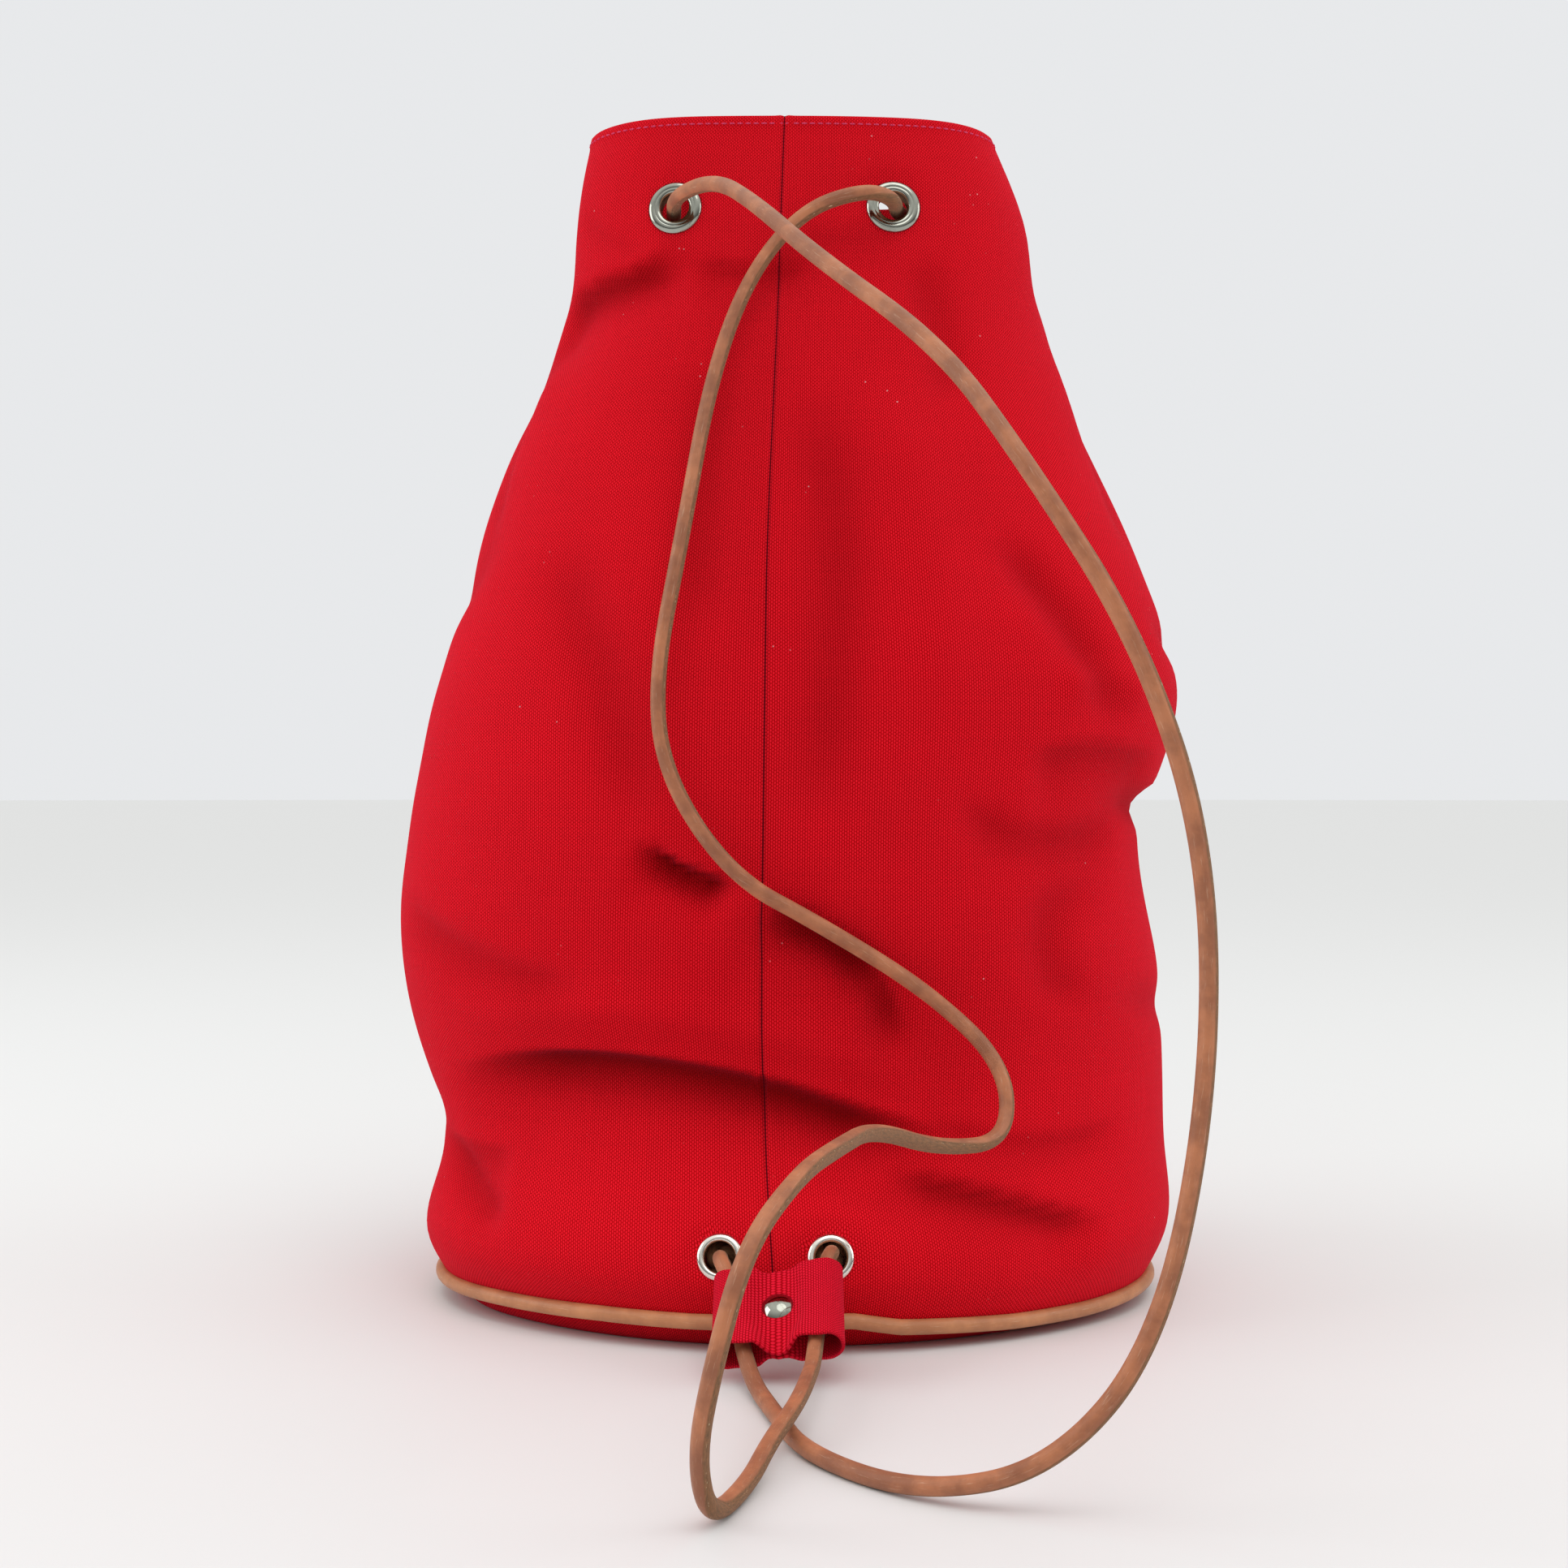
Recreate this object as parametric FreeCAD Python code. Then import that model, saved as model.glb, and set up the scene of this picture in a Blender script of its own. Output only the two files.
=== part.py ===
"""A standing canvas drawstring sack with a piped base, eight mouth eyelets, one leather cord and a
riveted canvas keeper. Millimetres. +Z is up, the strap side faces -Y, and the origin is on the floor
under the middle of the base."""

import FreeCAD
import Part

import math
import os
from FreeCAD import Placement, Rotation, Vector

os.makedirs("parts", exist_ok=True)

# ---------------------------------------------------------------- driving dimensions
BAG_HEIGHT = 407.0  # floor to rim
BASE_LENGTH = 254.0  # base along X, measured on the piping's centre line
BASE_WIDTH = 196.0  # base along Y, measured the same way
BASE_CENTRE_X = 4.0
BODY_WALL = 2.0
FACING_WALL = 1.2
FACING_HEIGHT = 52.0
LAYER_GAP = 0.05  # between a layer and the layer sewn to it

BASE_WALL = 1.6
BASE_REST_INSET = 10.0  # how far inside the piping the base leaves the floor
BASE_FLANGE_TOP = 14.0  # height of the base panel's turned-up seam allowance
TAPE_WALL = 1.0
SEAM_TAPE_WIDTH = 12.0
SEAM_TAPE_X = -3.0

PIPING_RADIUS = 2.5
PIPING_HEIGHT = 7.5  # of its centre line
PIPING_COVER_WALL = 1.0
PIPING_CORE_GAP = 0.05

MOUTH_EYELET_DROP = 32.0  # rim to eyelet centre
FRONT_EYELET_SPACING = 73.5
BACK_EYELET_SPACING = 90.0
SIDE_EYELET_OFFSET = 16.0  # from the inner end of a side pleat, outwards
MOUTH_EYELET_RADIUS = 9.25
STRAP_EYELET_RADIUS = 7.65
STRAP_EYELET_SPACING = 35.5
STRAP_EYELET_X = -2.8  # middle of the pair
STRAP_EYELET_HEIGHT = 30.5
EYELET_BORE = 5.0  # radius
EYELET_METAL = 0.55
EYELET_FLANGE_HEIGHT = 1.2
EYELET_WASHER_WALL = 0.6
EYELET_WASHER_EDGE = 0.35  # how much smaller in radius the washer is than the flange
EYELET_FIT = 0.1  # round the barrel and round the flange's seat
EYELET_SEAT_DEPTH = 0.6

KEEPER_LENGTH = 32.0
KEEPER_WIDTH = 41.0
KEEPER_DEPTH = 10.6
KEEPER_WALL = 1.1
KEEPER_PINCH_WIDTH = 10.2  # the flat middle between its two channels
KEEPER_PINCH_THICKNESS = 2.6
KEEPER_SLOPE = 33.0  # degrees below the horizontal
KEEPER_ROLL = 9.0  # degrees, left channel down
KEEPER_TOP = Vector(-1.8, -105.2, 27.2)  # middle of its upper mouth
RIVET_CAP_RADIUS = 5.0
RIVET_CAP_HEIGHT = 2.0
RIVET_POST_RADIUS = 1.6
RIVET_BACK_RADIUS = 4.0
RIVET_BACK_THICKNESS = 0.8
RIVET_PLACE = 14.5  # along the keeper from its upper mouth
RIVET_FIT = 0.1

CORD_RADIUS = 2.5
KNOT_RADIUS = 7.0
KNOT_LENGTH = 11.0
KNOT_CLEARANCE = 4.4  # outer canvas face to the knot's near end
CORD_BEND_SHARE = 0.45  # of the shorter run taken up by the arc at each bend

# The cord's control points, from the knot inside the left strap eyelet, through the keeper, round the
# loop that stands in front of the sack and up to the left mouth eyelet.
CORD_FIRST_LEG = (
    (-20.1, -91.4, 29.0),
    (-20.8, -97.8, 31.4),
    (-17.5, -102.9, 26.1),
    (-12.8, -127.2, 10.9),
    (-9.0, -142.0, 3.0),
    (-3.0, -168.0, 2.5),
    (6.0, -207.0, 2.5),
    (34.0, -238.0, 2.5),
    (66.0, -249.0, 12.0),
    (92.0, -250.0, 43.0),
    (106.5, -240.0, 102.0),
    (106.5, -238.0, 165.0),
    (88.5, -242.0, 217.0),
    (60.0, -240.0, 262.0),
    (41.0, -214.0, 296.0),
    (9.0, -172.0, 330.0),
    (-9.0, -134.0, 356.0),
    (-22.0, -92.0, 375.0),
    (-36.4, -71.0, 375.5),
)
# Through the mouth eyelets and pleats, round the back.
CORD_MOUTH_RUN = (
    (-37.6, -46.0, 375.0),
    (-39.5, -24.0, 375.0),
    (-49.8, 1.6, 375.0),
    (-40.6, 24.0, 375.0),
    (-43.0, 46.0, 375.0),
    (-46.2, 70.0, 375.5),
    (-37.0, 79.5, 376.0),
    (-14.0, 83.0, 376.0),
    (14.0, 83.5, 376.0),
    (37.0, 81.0, 376.0),
    (45.8, 72.0, 375.5),
    (45.5, 50.0, 375.0),
    (71.3, 1.6, 375.0),
    (60.0, -22.0, 375.0),
    (38.5, -48.0, 375.0),
)
# From the right mouth eyelet down the front, off it, down to the floor and back through the keeper.
CORD_LAST_LEG = (
    (36.6, -70.5, 375.0),
    (26.0, -73.0, 377.0),
    (6.0, -70.0, 371.0),
    (-12.0, -73.0, 348.0),
    (-24.0, -82.0, 312.0),
    (-32.0, -96.0, 262.0),
    (-41.0, -102.0, 214.0),
    (-37.5, -102.0, 183.0),
    (-16.5, -100.0, 151.5),
    (12.0, -96.0, 136.0),
    (47.0, -88.0, 114.0),
    (71.0, -94.0, 91.0),
    (70.5, -102.0, 68.0),
    (47.0, -126.0, 70.0),
    (25.0, -168.0, 83.0),
    (14.5, -206.0, 84.0),
    (4.0, -244.0, 84.0),
    (-9.0, -268.0, 71.0),
    (-16.5, -272.0, 44.0),
    (-21.0, -264.0, 20.0),
    (-18.0, -258.0, 2.7),
    (-9.3, -232.0, 2.6),
    (-3.7, -207.0, 6.0),
    (2.0, -189.0, 8.5),
    (5.3, -172.0, 9.3),
    (7.3, -156.0, 9.4),
    (8.9, -139.5, 8.6),
    (12.8, -104.0, 29.8),
    (15.5, -98.9, 33.2),
    (15.1, -92.5, 30.7),
)

# The sack's outline at a share of the height between piping and rim. Each side is given by how far
# it stands outside (+) or inside (-) the base outline; then come the squareness of the outline and
# the depth of the left and right pleats that the cord draws in.
OUTLINES = (
    (0.035, 5.0, 5.5, 1.0, 1.0, 2.15, 0.0, 0.0),
    (0.105, 0.0, 6.5, -10.0, 3.0, 2.25, 0.0, 0.0),
    (0.190, 7.5, 6.5, -18.0, 4.0, 2.3, 0.0, 0.0),
    (0.285, 15.5, 3.5, -12.0, 4.0, 2.3, 0.0, 0.0),
    (0.395, 11.5, -2.5, -6.0, 2.0, 2.35, 0.0, 0.0),
    (0.500, 4.0, 10.0, -6.0, -2.0, 2.4, 0.0, 0.0),
    (0.615, -10.5, -1.5, -10.0, -7.0, 2.4, 0.0, 0.0),
    (0.740, -27.0, -21.5, -20.0, -15.0, 2.5, 4.0, 3.0),
    (0.840, -43.0, -37.0, -29.5, -25.0, 2.9, 26.0, 20.0),
    (0.915, -46.5, -42.5, -36.0, -33.0, 3.3, 48.0, 40.0),
    (1.000, -52.0, -55.0, -40.5, -37.0, 3.3, 50.0, 38.0),
)
PLEAT_WIDTH = 17.0
OUTLINE_POINTS = 52
SEAM_INSET = 1.2  # of the canvas outside the base outline where it meets the piping
SEAM_HEIGHT = PIPING_HEIGHT + 1.0

OVAL_END_SHARE = 0.614  # end radius of the base oval as a share of half its length


# ---------------------------------------------------------------- outlines
def oval_radii():
    """Return half sizes and the end and side radii of the base oval, drawn as four tangent arcs."""
    a = BASE_LENGTH / 2
    b = BASE_WIDTH / 2
    end = OVAL_END_SHARE * a
    side = (a * a + b * b - 2 * a * end) / (2 * (b - end))
    return a, b, end, side


def oval_wire(inset, z):
    """The base oval moved inwards by inset, at height z."""
    a, b, end, side = oval_radii()
    centre = Vector(BASE_CENTRE_X, 0, z)
    lean = math.atan2(side - b, a - end)
    ends = [(centre + Vector(s * (a - end), 0, 0), end - inset, s) for s in (1, -1)]
    sides = [(centre + Vector(0, s * (b - side), 0), side - inset, s) for s in (1, -1)]

    def at(middle, radius, angle):
        return middle + Vector(radius * math.cos(angle), radius * math.sin(angle), 0)

    right, left = ends
    back, front = sides
    arcs = (
        (right[0], right[1], -lean, lean),
        (back[0], back[1], lean, math.pi - lean),
        (left[0], left[1], math.pi - lean, math.pi + lean),
        (front[0], front[1], math.pi + lean, 2 * math.pi - lean),
    )
    edges = []
    for middle, radius, start, stop in arcs:
        points = [at(middle, radius, angle) for angle in (start, (start + stop) / 2, stop)]
        edges.append(Part.Arc(*points).toShape())
    return Part.Wire(edges)


def resample(points, count):
    """Equally spaced points round a closed line, from its first point."""
    closed = points + points[:1]
    lengths = [0.0]
    for here, there in zip(closed, closed[1:]):
        lengths.append(lengths[-1] + here.distanceToPoint(there))
    result = []
    span = 0
    for k in range(count):
        target = lengths[-1] * k / count
        while lengths[span + 1] < target:
            span += 1
        share = (target - lengths[span]) / (lengths[span + 1] - lengths[span])
        result.append(closed[span] + (closed[span + 1] - closed[span]) * share)
    return result


def outline(row):
    """Points of one outline of the sack, from the middle of the front towards +X."""
    share, left, right, front, back, square, fold_left, fold_right = row
    a, b = BASE_LENGTH / 2, BASE_WIDTH / 2
    z = SEAM_HEIGHT + share * (BAG_HEIGHT - SEAM_HEIGHT)
    middle_x = BASE_CENTRE_X + (right - left) / 2
    middle_y = (back - front) / 2
    half_x = a + (left + right) / 2
    half_y = b + (front + back) / 2
    points = []
    steps = 1440
    for k in range(steps):
        angle = 2 * math.pi * k / steps - math.pi / 2
        c, s = math.cos(angle), math.sin(angle)
        x = half_x * math.copysign(abs(c) ** (2 / square), c)
        y = half_y * math.copysign(abs(s) ** (2 / square), s)
        pull = math.exp(-((y / PLEAT_WIDTH) ** 2))
        x -= pull * (fold_right if c > 0 else -fold_left)
        points.append(Vector(middle_x + x, middle_y + y, z))
    return resample(points, OUTLINE_POINTS)


def seam_outline():
    """The sack's outline where the canvas meets the piping."""
    wire = oval_wire(SEAM_INSET, SEAM_HEIGHT)
    points = wire.discretize(Number=1441)[:-1]
    front = min(range(len(points)), key=lambda k: (points[k].y, abs(points[k].x - BASE_CENTRE_X)))
    points = points[front:] + points[:front]
    if points[5].x < points[0].x:
        points = points[:1] + points[:0:-1]
    return resample(points, OUTLINE_POINTS)


def moved_in(points, inset):
    """A closed outline moved inwards by inset along its own normals."""
    result = []
    count = len(points)
    for k in range(count):
        along = points[(k + 1) % count] - points[k - 1]
        inward = Vector(-along.y, along.x, 0)
        inward.normalize()
        result.append(points[k] + inward * inset)
    return result


def closed_curve(points):
    curve = Part.BSplineCurve()
    curve.interpolate(Points=points, PeriodicFlag=True)
    return Part.Wire([curve.toShape()])


def sack_solid(inset):
    """The sack filled solid, with its outside moved inwards by inset."""
    rows = [seam_outline()] + [outline(row) for row in OUTLINES]
    wires = [closed_curve(moved_in(points, inset)) for points in rows]
    return Part.makeLoft(wires, True, False)


def box(x0, y0, z0, x1, y1, z1):
    return Part.makeBox(x1 - x0, y1 - y0, z1 - z0, Vector(x0, y0, z0))


FAR = 400.0  # beyond everything

OUTSIDE = sack_solid(0)
SHELL = OUTSIDE.cut(sack_solid(BODY_WALL))


def pleat_end(side):
    """X of the inner end of the left (-1) or right (+1) pleat at the height of the mouth eyelets."""
    z = BAG_HEIGHT - MOUTH_EYELET_DROP
    start = Vector(BASE_CENTRE_X, 0, z)
    ray = Part.makeLine(start, start + Vector(side * FAR, 0, 0))
    hits = OUTSIDE.common(ray).Edges[0].Vertexes
    return max((v.Point.x for v in hits), key=lambda x: side * x)


def seat(start, towards):
    """The point where a ray first meets the sack's outside, and the outward normal there."""
    face = max(OUTSIDE.Faces, key=lambda face: face.Area)
    ray = Part.LineSegment(start, start + towards * FAR)
    hits = [Vector(hit.X, hit.Y, hit.Z) for hit in ray.intersectCS(face.Surface)[0]]
    point = min(hits, key=lambda hit: hit.distanceToPoint(start))
    u, v = face.Surface.parameter(point)
    normal = face.normalAt(u, v)
    if normal.dot(towards) > 0:
        normal = normal * -1
    return point, normal


def mouth_seats():
    z = BAG_HEIGHT - MOUTH_EYELET_DROP
    front = FRONT_EYELET_SPACING / 2
    back = BACK_EYELET_SPACING / 2
    left = pleat_end(-1) - SIDE_EYELET_OFFSET
    right = pleat_end(1) + SIDE_EYELET_OFFSET
    away = Vector(0, 1, 0)
    return {
        "front_left": seat(Vector(-front, -FAR, z), away),
        "front_right": seat(Vector(front, -FAR, z), away),
        "left_front": seat(Vector(left, 0, z), away * -1),
        "left_back": seat(Vector(left, 0, z), away),
        "right_front": seat(Vector(right, 0, z), away * -1),
        "right_back": seat(Vector(right, 0, z), away),
        "back_left": seat(Vector(-back, FAR, z), away * -1),
        "back_right": seat(Vector(back, FAR, z), away * -1),
    }


def strap_seats():
    half = STRAP_EYELET_SPACING / 2
    return {
        side: seat(Vector(STRAP_EYELET_X + s * half, -FAR, STRAP_EYELET_HEIGHT), Vector(0, 1, 0))
        for side, s in (("left", -1), ("right", 1))
    }


def placed(shape, point, normal):
    """A shape drawn about the origin with +Z outwards, moved to a seat."""
    copy = shape.copy()
    copy.Placement = Placement(point, Rotation(Vector(0, 0, 1), normal))
    return copy


# ---------------------------------------------------------------- eyelets
def eyelet_barrel(flange_radius, stack):
    """One eyelet barrel: flange seated at -EYELET_SEAT_DEPTH, rolled over a washer inside."""
    bore = EYELET_BORE
    outer = bore + EYELET_METAL
    seat_z = -EYELET_SEAT_DEPTH
    top = seat_z + EYELET_FLANGE_HEIGHT
    crown = (bore + flange_radius) / 2 - 0.4
    washer_z = -stack + EYELET_SEAT_DEPTH - EYELET_WASHER_WALL
    roll = 1.5
    roll_z = washer_z - 0.9
    edges = [
        Part.makeLine(Vector(bore, 0, roll_z + 0.4), Vector(bore, 0, top - 0.5)),
        Part.Arc(
            Vector(bore, 0, top - 0.5),
            Vector(bore + 0.45, 0, top - 0.12),
            Vector(crown, 0, top),
        ).toShape(),
        Part.Arc(
            Vector(crown, 0, top),
            Vector(flange_radius - 0.5, 0, seat_z + 0.62 * EYELET_FLANGE_HEIGHT),
            Vector(flange_radius, 0, seat_z),
        ).toShape(),
        Part.makeLine(Vector(flange_radius, 0, seat_z), Vector(outer, 0, seat_z)),
        Part.makeLine(Vector(outer, 0, seat_z), Vector(outer, 0, washer_z)),
        Part.makeLine(Vector(outer, 0, washer_z), Vector(bore + roll, 0, washer_z)),
        Part.Arc(
            Vector(bore + roll, 0, washer_z),
            Vector(bore + 0.8, 0, roll_z),
            Vector(bore, 0, roll_z + 0.4),
        ).toShape(),
    ]
    profile = Part.Face(Part.Wire(edges))
    return profile.revolve(Vector(0, 0, 0), Vector(0, 0, 1), 360)


def eyelet_washer(flange_radius, stack):
    radius = flange_radius - EYELET_WASHER_EDGE
    bore = EYELET_BORE + EYELET_METAL + EYELET_FIT
    base = -stack + EYELET_SEAT_DEPTH - EYELET_WASHER_WALL
    disc = Part.makeCylinder(radius, EYELET_WASHER_WALL, Vector(0, 0, base))
    return disc.cut(Part.makeCylinder(bore, EYELET_WASHER_WALL * 3, Vector(0, 0, base - 1)))


def eyelet_cutter(flange_radius, stack):
    """What an eyelet takes out of the canvas: its hole and a flat seat each side."""
    reach = 12.0
    hole = EYELET_BORE + EYELET_METAL + EYELET_FIT
    wide = flange_radius + EYELET_FIT
    through = Part.makeCylinder(hole, 2 * reach, Vector(0, 0, -reach))
    outer = Part.makeCylinder(wide, reach, Vector(0, 0, -EYELET_SEAT_DEPTH))
    inner = Part.makeCylinder(wide, reach, Vector(0, 0, -stack + EYELET_SEAT_DEPTH - reach))
    return through.fuse([outer, inner])


def seat_cuts(cutter, places):
    """The cutter at each seat, sunk a hair deeper where the canvas would slip through it whole."""
    cuts = []
    for point, normal in places.values():
        for sink in (0.0, 0.1, 0.2):
            tool = placed(cutter, point - normal * sink, normal)
            if SHELL.common(tool).Volume > 100:
                break
        cuts.append(tool)
    return cuts


# ---------------------------------------------------------------- canvas layers
def ring(inset, wall, z0, z1):
    """An upright band on the base oval."""
    outer = Part.Face(oval_wire(inset, z0)).extrude(Vector(0, 0, z1 - z0))
    inner = Part.Face(oval_wire(inset + wall, z0 - 1)).extrude(Vector(0, 0, z1 - z0 + 2))
    return outer.cut(inner)


def piping_ring(outer_radius, inner_radius):
    """A round ring of piping on the base oval, hollow when inner_radius is not 0."""
    a, b, end, side = oval_radii()
    lean = math.degrees(math.atan2(side - b, a - end))
    z = PIPING_HEIGHT
    centre = Vector(BASE_CENTRE_X, 0, z)
    up = Vector(0, 0, 1)
    spans = (
        (centre + Vector(a - end, 0, 0), end, -lean, 2 * lean),
        (centre + Vector(0, b - side, 0), side, lean, 180 - 2 * lean),
        (centre - Vector(a - end, 0, 0), end, 180 - lean, 2 * lean),
        (centre - Vector(0, b - side, 0), side, 180 + lean, 180 - 2 * lean),
    )
    parts = []
    for middle, radius, start, turn in spans:
        angle = math.radians(start)
        outwards = Vector(math.cos(angle), math.sin(angle), 0)
        along = Vector(-math.sin(angle), math.cos(angle), 0)
        spot = middle + outwards * radius
        face = Part.Face(Part.Wire([Part.makeCircle(outer_radius, spot, along)]))
        if inner_radius:
            hole = Part.Face(Part.Wire([Part.makeCircle(inner_radius, spot, along)]))
            face = face.cut(hole).Faces[0]
        parts.append(face.revolve(middle, up, turn))
    return parts[0].fuse(parts[1:]).removeSplitter()


def base_cloth():
    """The canvas base: its flat panel, and its edge turned up past the piping inside the wall."""
    rise = PIPING_HEIGHT - 1.0
    rim_inset = SEAM_INSET + BODY_WALL + LAYER_GAP
    outer = Part.makeLoft([oval_wire(BASE_REST_INSET, 0), oval_wire(rim_inset, rise)], True, True)
    inner_wires = [
        oval_wire(BASE_REST_INSET + 1.0, BASE_WALL),
        oval_wire(rim_inset + BASE_WALL, rise + 0.6),
    ]
    inner = Part.makeLoft(inner_wires, True, True)
    flange = ring(rim_inset, BASE_WALL, rise, BASE_FLANGE_TOP)
    whole = outer.cut(inner).fuse(flange).removeSplitter()
    flat = box(-FAR, -FAR, -1, FAR, FAR, BASE_WALL)
    return whole.common(flat), whole.cut(flat)


def base_tape():
    """The tape that covers the base seam, inside the base panel's flange."""
    inset = SEAM_INSET + BODY_WALL + LAYER_GAP + BASE_WALL + LAYER_GAP
    return ring(inset, TAPE_WALL, PIPING_HEIGHT + 1.0, BASE_FLANGE_TOP + 1.0)


def seam_tape():
    """The tape that covers the front seam inside the sack."""
    outer = sack_solid(BODY_WALL + LAYER_GAP)
    inner = sack_solid(BODY_WALL + LAYER_GAP + TAPE_WALL)
    half = SEAM_TAPE_WIDTH / 2
    z0 = BASE_FLANGE_TOP + 3.0
    z1 = BAG_HEIGHT - FACING_HEIGHT - 1.0
    return outer.cut(inner).common(box(SEAM_TAPE_X - half, -FAR, z0, SEAM_TAPE_X + half, 0, z1))


# ---------------------------------------------------------------- keeper and rivet
def racetrack(u0, u1, radius, w, length):
    """A bar with round long edges, from u0 to u1 across and running up +Z from 0."""
    left = Vector(u0 + radius, w, 0)
    right = Vector(u1 - radius, w, 0)
    up = Vector(0, radius, 0)
    edges = [
        Part.makeLine(left + up, right + up),
        Part.Arc(right + up, Vector(u1, w, 0), right - up).toShape(),
        Part.makeLine(right - up, left - up),
        Part.Arc(left - up, Vector(u0, w, 0), left + up).toShape(),
    ]
    return Part.Face(Part.Wire(edges)).extrude(Vector(0, 0, length))


def keeper_frame():
    """Across the keeper, out of its face, and down its length."""
    slope = math.radians(KEEPER_SLOPE)
    down = Vector(0, -math.cos(slope), -math.sin(slope))
    roll = Rotation(down, KEEPER_ROLL)
    across = roll.multVec(Vector(1, 0, 0))
    if across.z < 0:
        across = Rotation(down, -KEEPER_ROLL).multVec(Vector(1, 0, 0))
    return across, across.cross(down), down


def on_keeper(shape, along=0.0):
    """A shape drawn with X across the keeper, Y out of its face and Z down it, put in place."""
    across, face, down = keeper_frame()
    copy = shape.copy()
    copy.Placement = Placement(KEEPER_TOP + down * along, Rotation(across, face, down, "ZXY"))
    return copy


def keeper_sleeve():
    half = KEEPER_WIDTH / 2
    pinch = KEEPER_PINCH_WIDTH / 2
    outer = KEEPER_DEPTH / 2
    inner = outer - KEEPER_WALL
    lobes = []
    channels = []
    for u0, u1 in ((-half, -pinch), (pinch, half)):
        lobes.append(racetrack(u0, u1, outer, 0, KEEPER_LENGTH))
        channels.append(racetrack(u0 + KEEPER_WALL, u1 - KEEPER_WALL, inner, 0, KEEPER_LENGTH))
    reach = pinch + 1.0
    thick = KEEPER_PINCH_THICKNESS
    middle = box(-reach, -thick / 2, 0, reach, thick / 2, KEEPER_LENGTH)
    hole = Part.makeCylinder(
        RIVET_POST_RADIUS + RIVET_FIT, 4 * thick, Vector(0, -2 * thick, RIVET_PLACE), Vector(0, 1, 0)
    )
    return lobes[0].fuse([lobes[1], middle]).cut(channels + [hole]).removeSplitter()


def rivet_cap():
    """A low dome standing on the keeper's flat middle."""
    seat_y = KEEPER_PINCH_THICKNESS / 2 + LAYER_GAP
    radius = RIVET_CAP_RADIUS
    height = RIVET_CAP_HEIGHT
    ball = (radius * radius + height * height) / (2 * height)
    middle = Vector(0, seat_y + height - ball, RIVET_PLACE)
    dome = Part.makeSphere(ball, middle)
    keep = Part.makeCylinder(radius - 0.05, height + 1, Vector(0, seat_y, RIVET_PLACE), Vector(0, 1, 0))
    return dome.common(keep)


def rivet_post():
    """The rivet's shank with its flat back."""
    half = KEEPER_PINCH_THICKNESS / 2
    back = -half - LAYER_GAP - RIVET_BACK_THICKNESS
    out = Vector(0, 1, 0)
    disc = Part.makeCylinder(RIVET_BACK_RADIUS, RIVET_BACK_THICKNESS, Vector(0, back, RIVET_PLACE), out)
    shank = Part.makeCylinder(RIVET_POST_RADIUS, half - back, Vector(0, back, RIVET_PLACE), out)
    return disc.fuse(shank).removeSplitter()


# ---------------------------------------------------------------- cord
def cord_points():
    return [Vector(*point) for point in CORD_FIRST_LEG + CORD_MOUTH_RUN + CORD_LAST_LEG]


def cord_tube():
    """A round tube along straight runs joined by tangent arcs. Returns it with its arcs' radii."""
    points = cord_points()
    count = len(points)
    edges = []
    radii = []
    here = points[0]
    for k in range(1, count - 1):
        before = points[k] - points[k - 1]
        after = points[k + 1] - points[k]
        reach = CORD_BEND_SHARE * min(before.Length, after.Length)
        half_turn = before.getAngle(after) / 2
        radius = reach / math.tan(half_turn)
        radii.append((k, radius, math.degrees(2 * half_turn)))
        before.normalize()
        after.normalize()
        start = points[k] - before * reach
        stop = points[k] + after * reach
        bisector = after - before
        bisector.normalize()
        centre = points[k] + bisector * (radius / math.cos(half_turn))
        middle = centre - bisector * radius
        edges.append(Part.LineSegment(here, start).toShape())
        edges.append(Part.Arc(start, middle, stop).toShape())
        here = stop
    edges.append(Part.LineSegment(here, points[-1]).toShape())
    path = Part.Wire(edges)
    first = points[1] - points[0]
    section = Part.Wire([Part.makeCircle(CORD_RADIUS, points[0], first)])
    return path.makePipeShell([section], True, False), radii, path.Length


def knot(end, inwards):
    """The knot that stops one end of the cord: a plump barrel with rounded ends."""
    r = KNOT_RADIUS
    half = KNOT_LENGTH / 2
    edges = [
        Part.makeLine(Vector(0, 0, 0), Vector(0.55 * r, 0, 0)),
        Part.Arc(Vector(0.55 * r, 0, 0), Vector(r, 0, half), Vector(0.55 * r, 0, 2 * half)).toShape(),
        Part.makeLine(Vector(0.55 * r, 0, 2 * half), Vector(0, 0, 2 * half)),
        Part.makeLine(Vector(0, 0, 2 * half), Vector(0, 0, 0)),
    ]
    solid = Part.Face(Part.Wire(edges)).revolve(Vector(0, 0, 0), Vector(0, 0, 1), 360)
    return placed(solid, end + inwards * LAYER_GAP, inwards)


# ---------------------------------------------------------------- build
mouth = mouth_seats()
strap = strap_seats()
mouth_stack = BODY_WALL + LAYER_GAP + FACING_WALL
strap_stack = BODY_WALL
mouth_cutter = eyelet_cutter(MOUTH_EYELET_RADIUS, mouth_stack)
strap_cutter = eyelet_cutter(STRAP_EYELET_RADIUS, strap_stack)
mouth_cuts = seat_cuts(mouth_cutter, mouth)
strap_cuts = seat_cuts(strap_cutter, strap)
facing_outer = sack_solid(BODY_WALL + LAYER_GAP)
facing_inner = sack_solid(BODY_WALL + LAYER_GAP + FACING_WALL)
facing_zone = box(-FAR, -FAR, BAG_HEIGHT - FACING_HEIGHT, FAR, FAR, BAG_HEIGHT)
cord, cord_bends, cord_length = cord_tube()
cord_line = cord_points()
first_way = (cord_line[0] - cord_line[1]).normalize()
last_way = (cord_line[-1] - cord_line[-2]).normalize()

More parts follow.
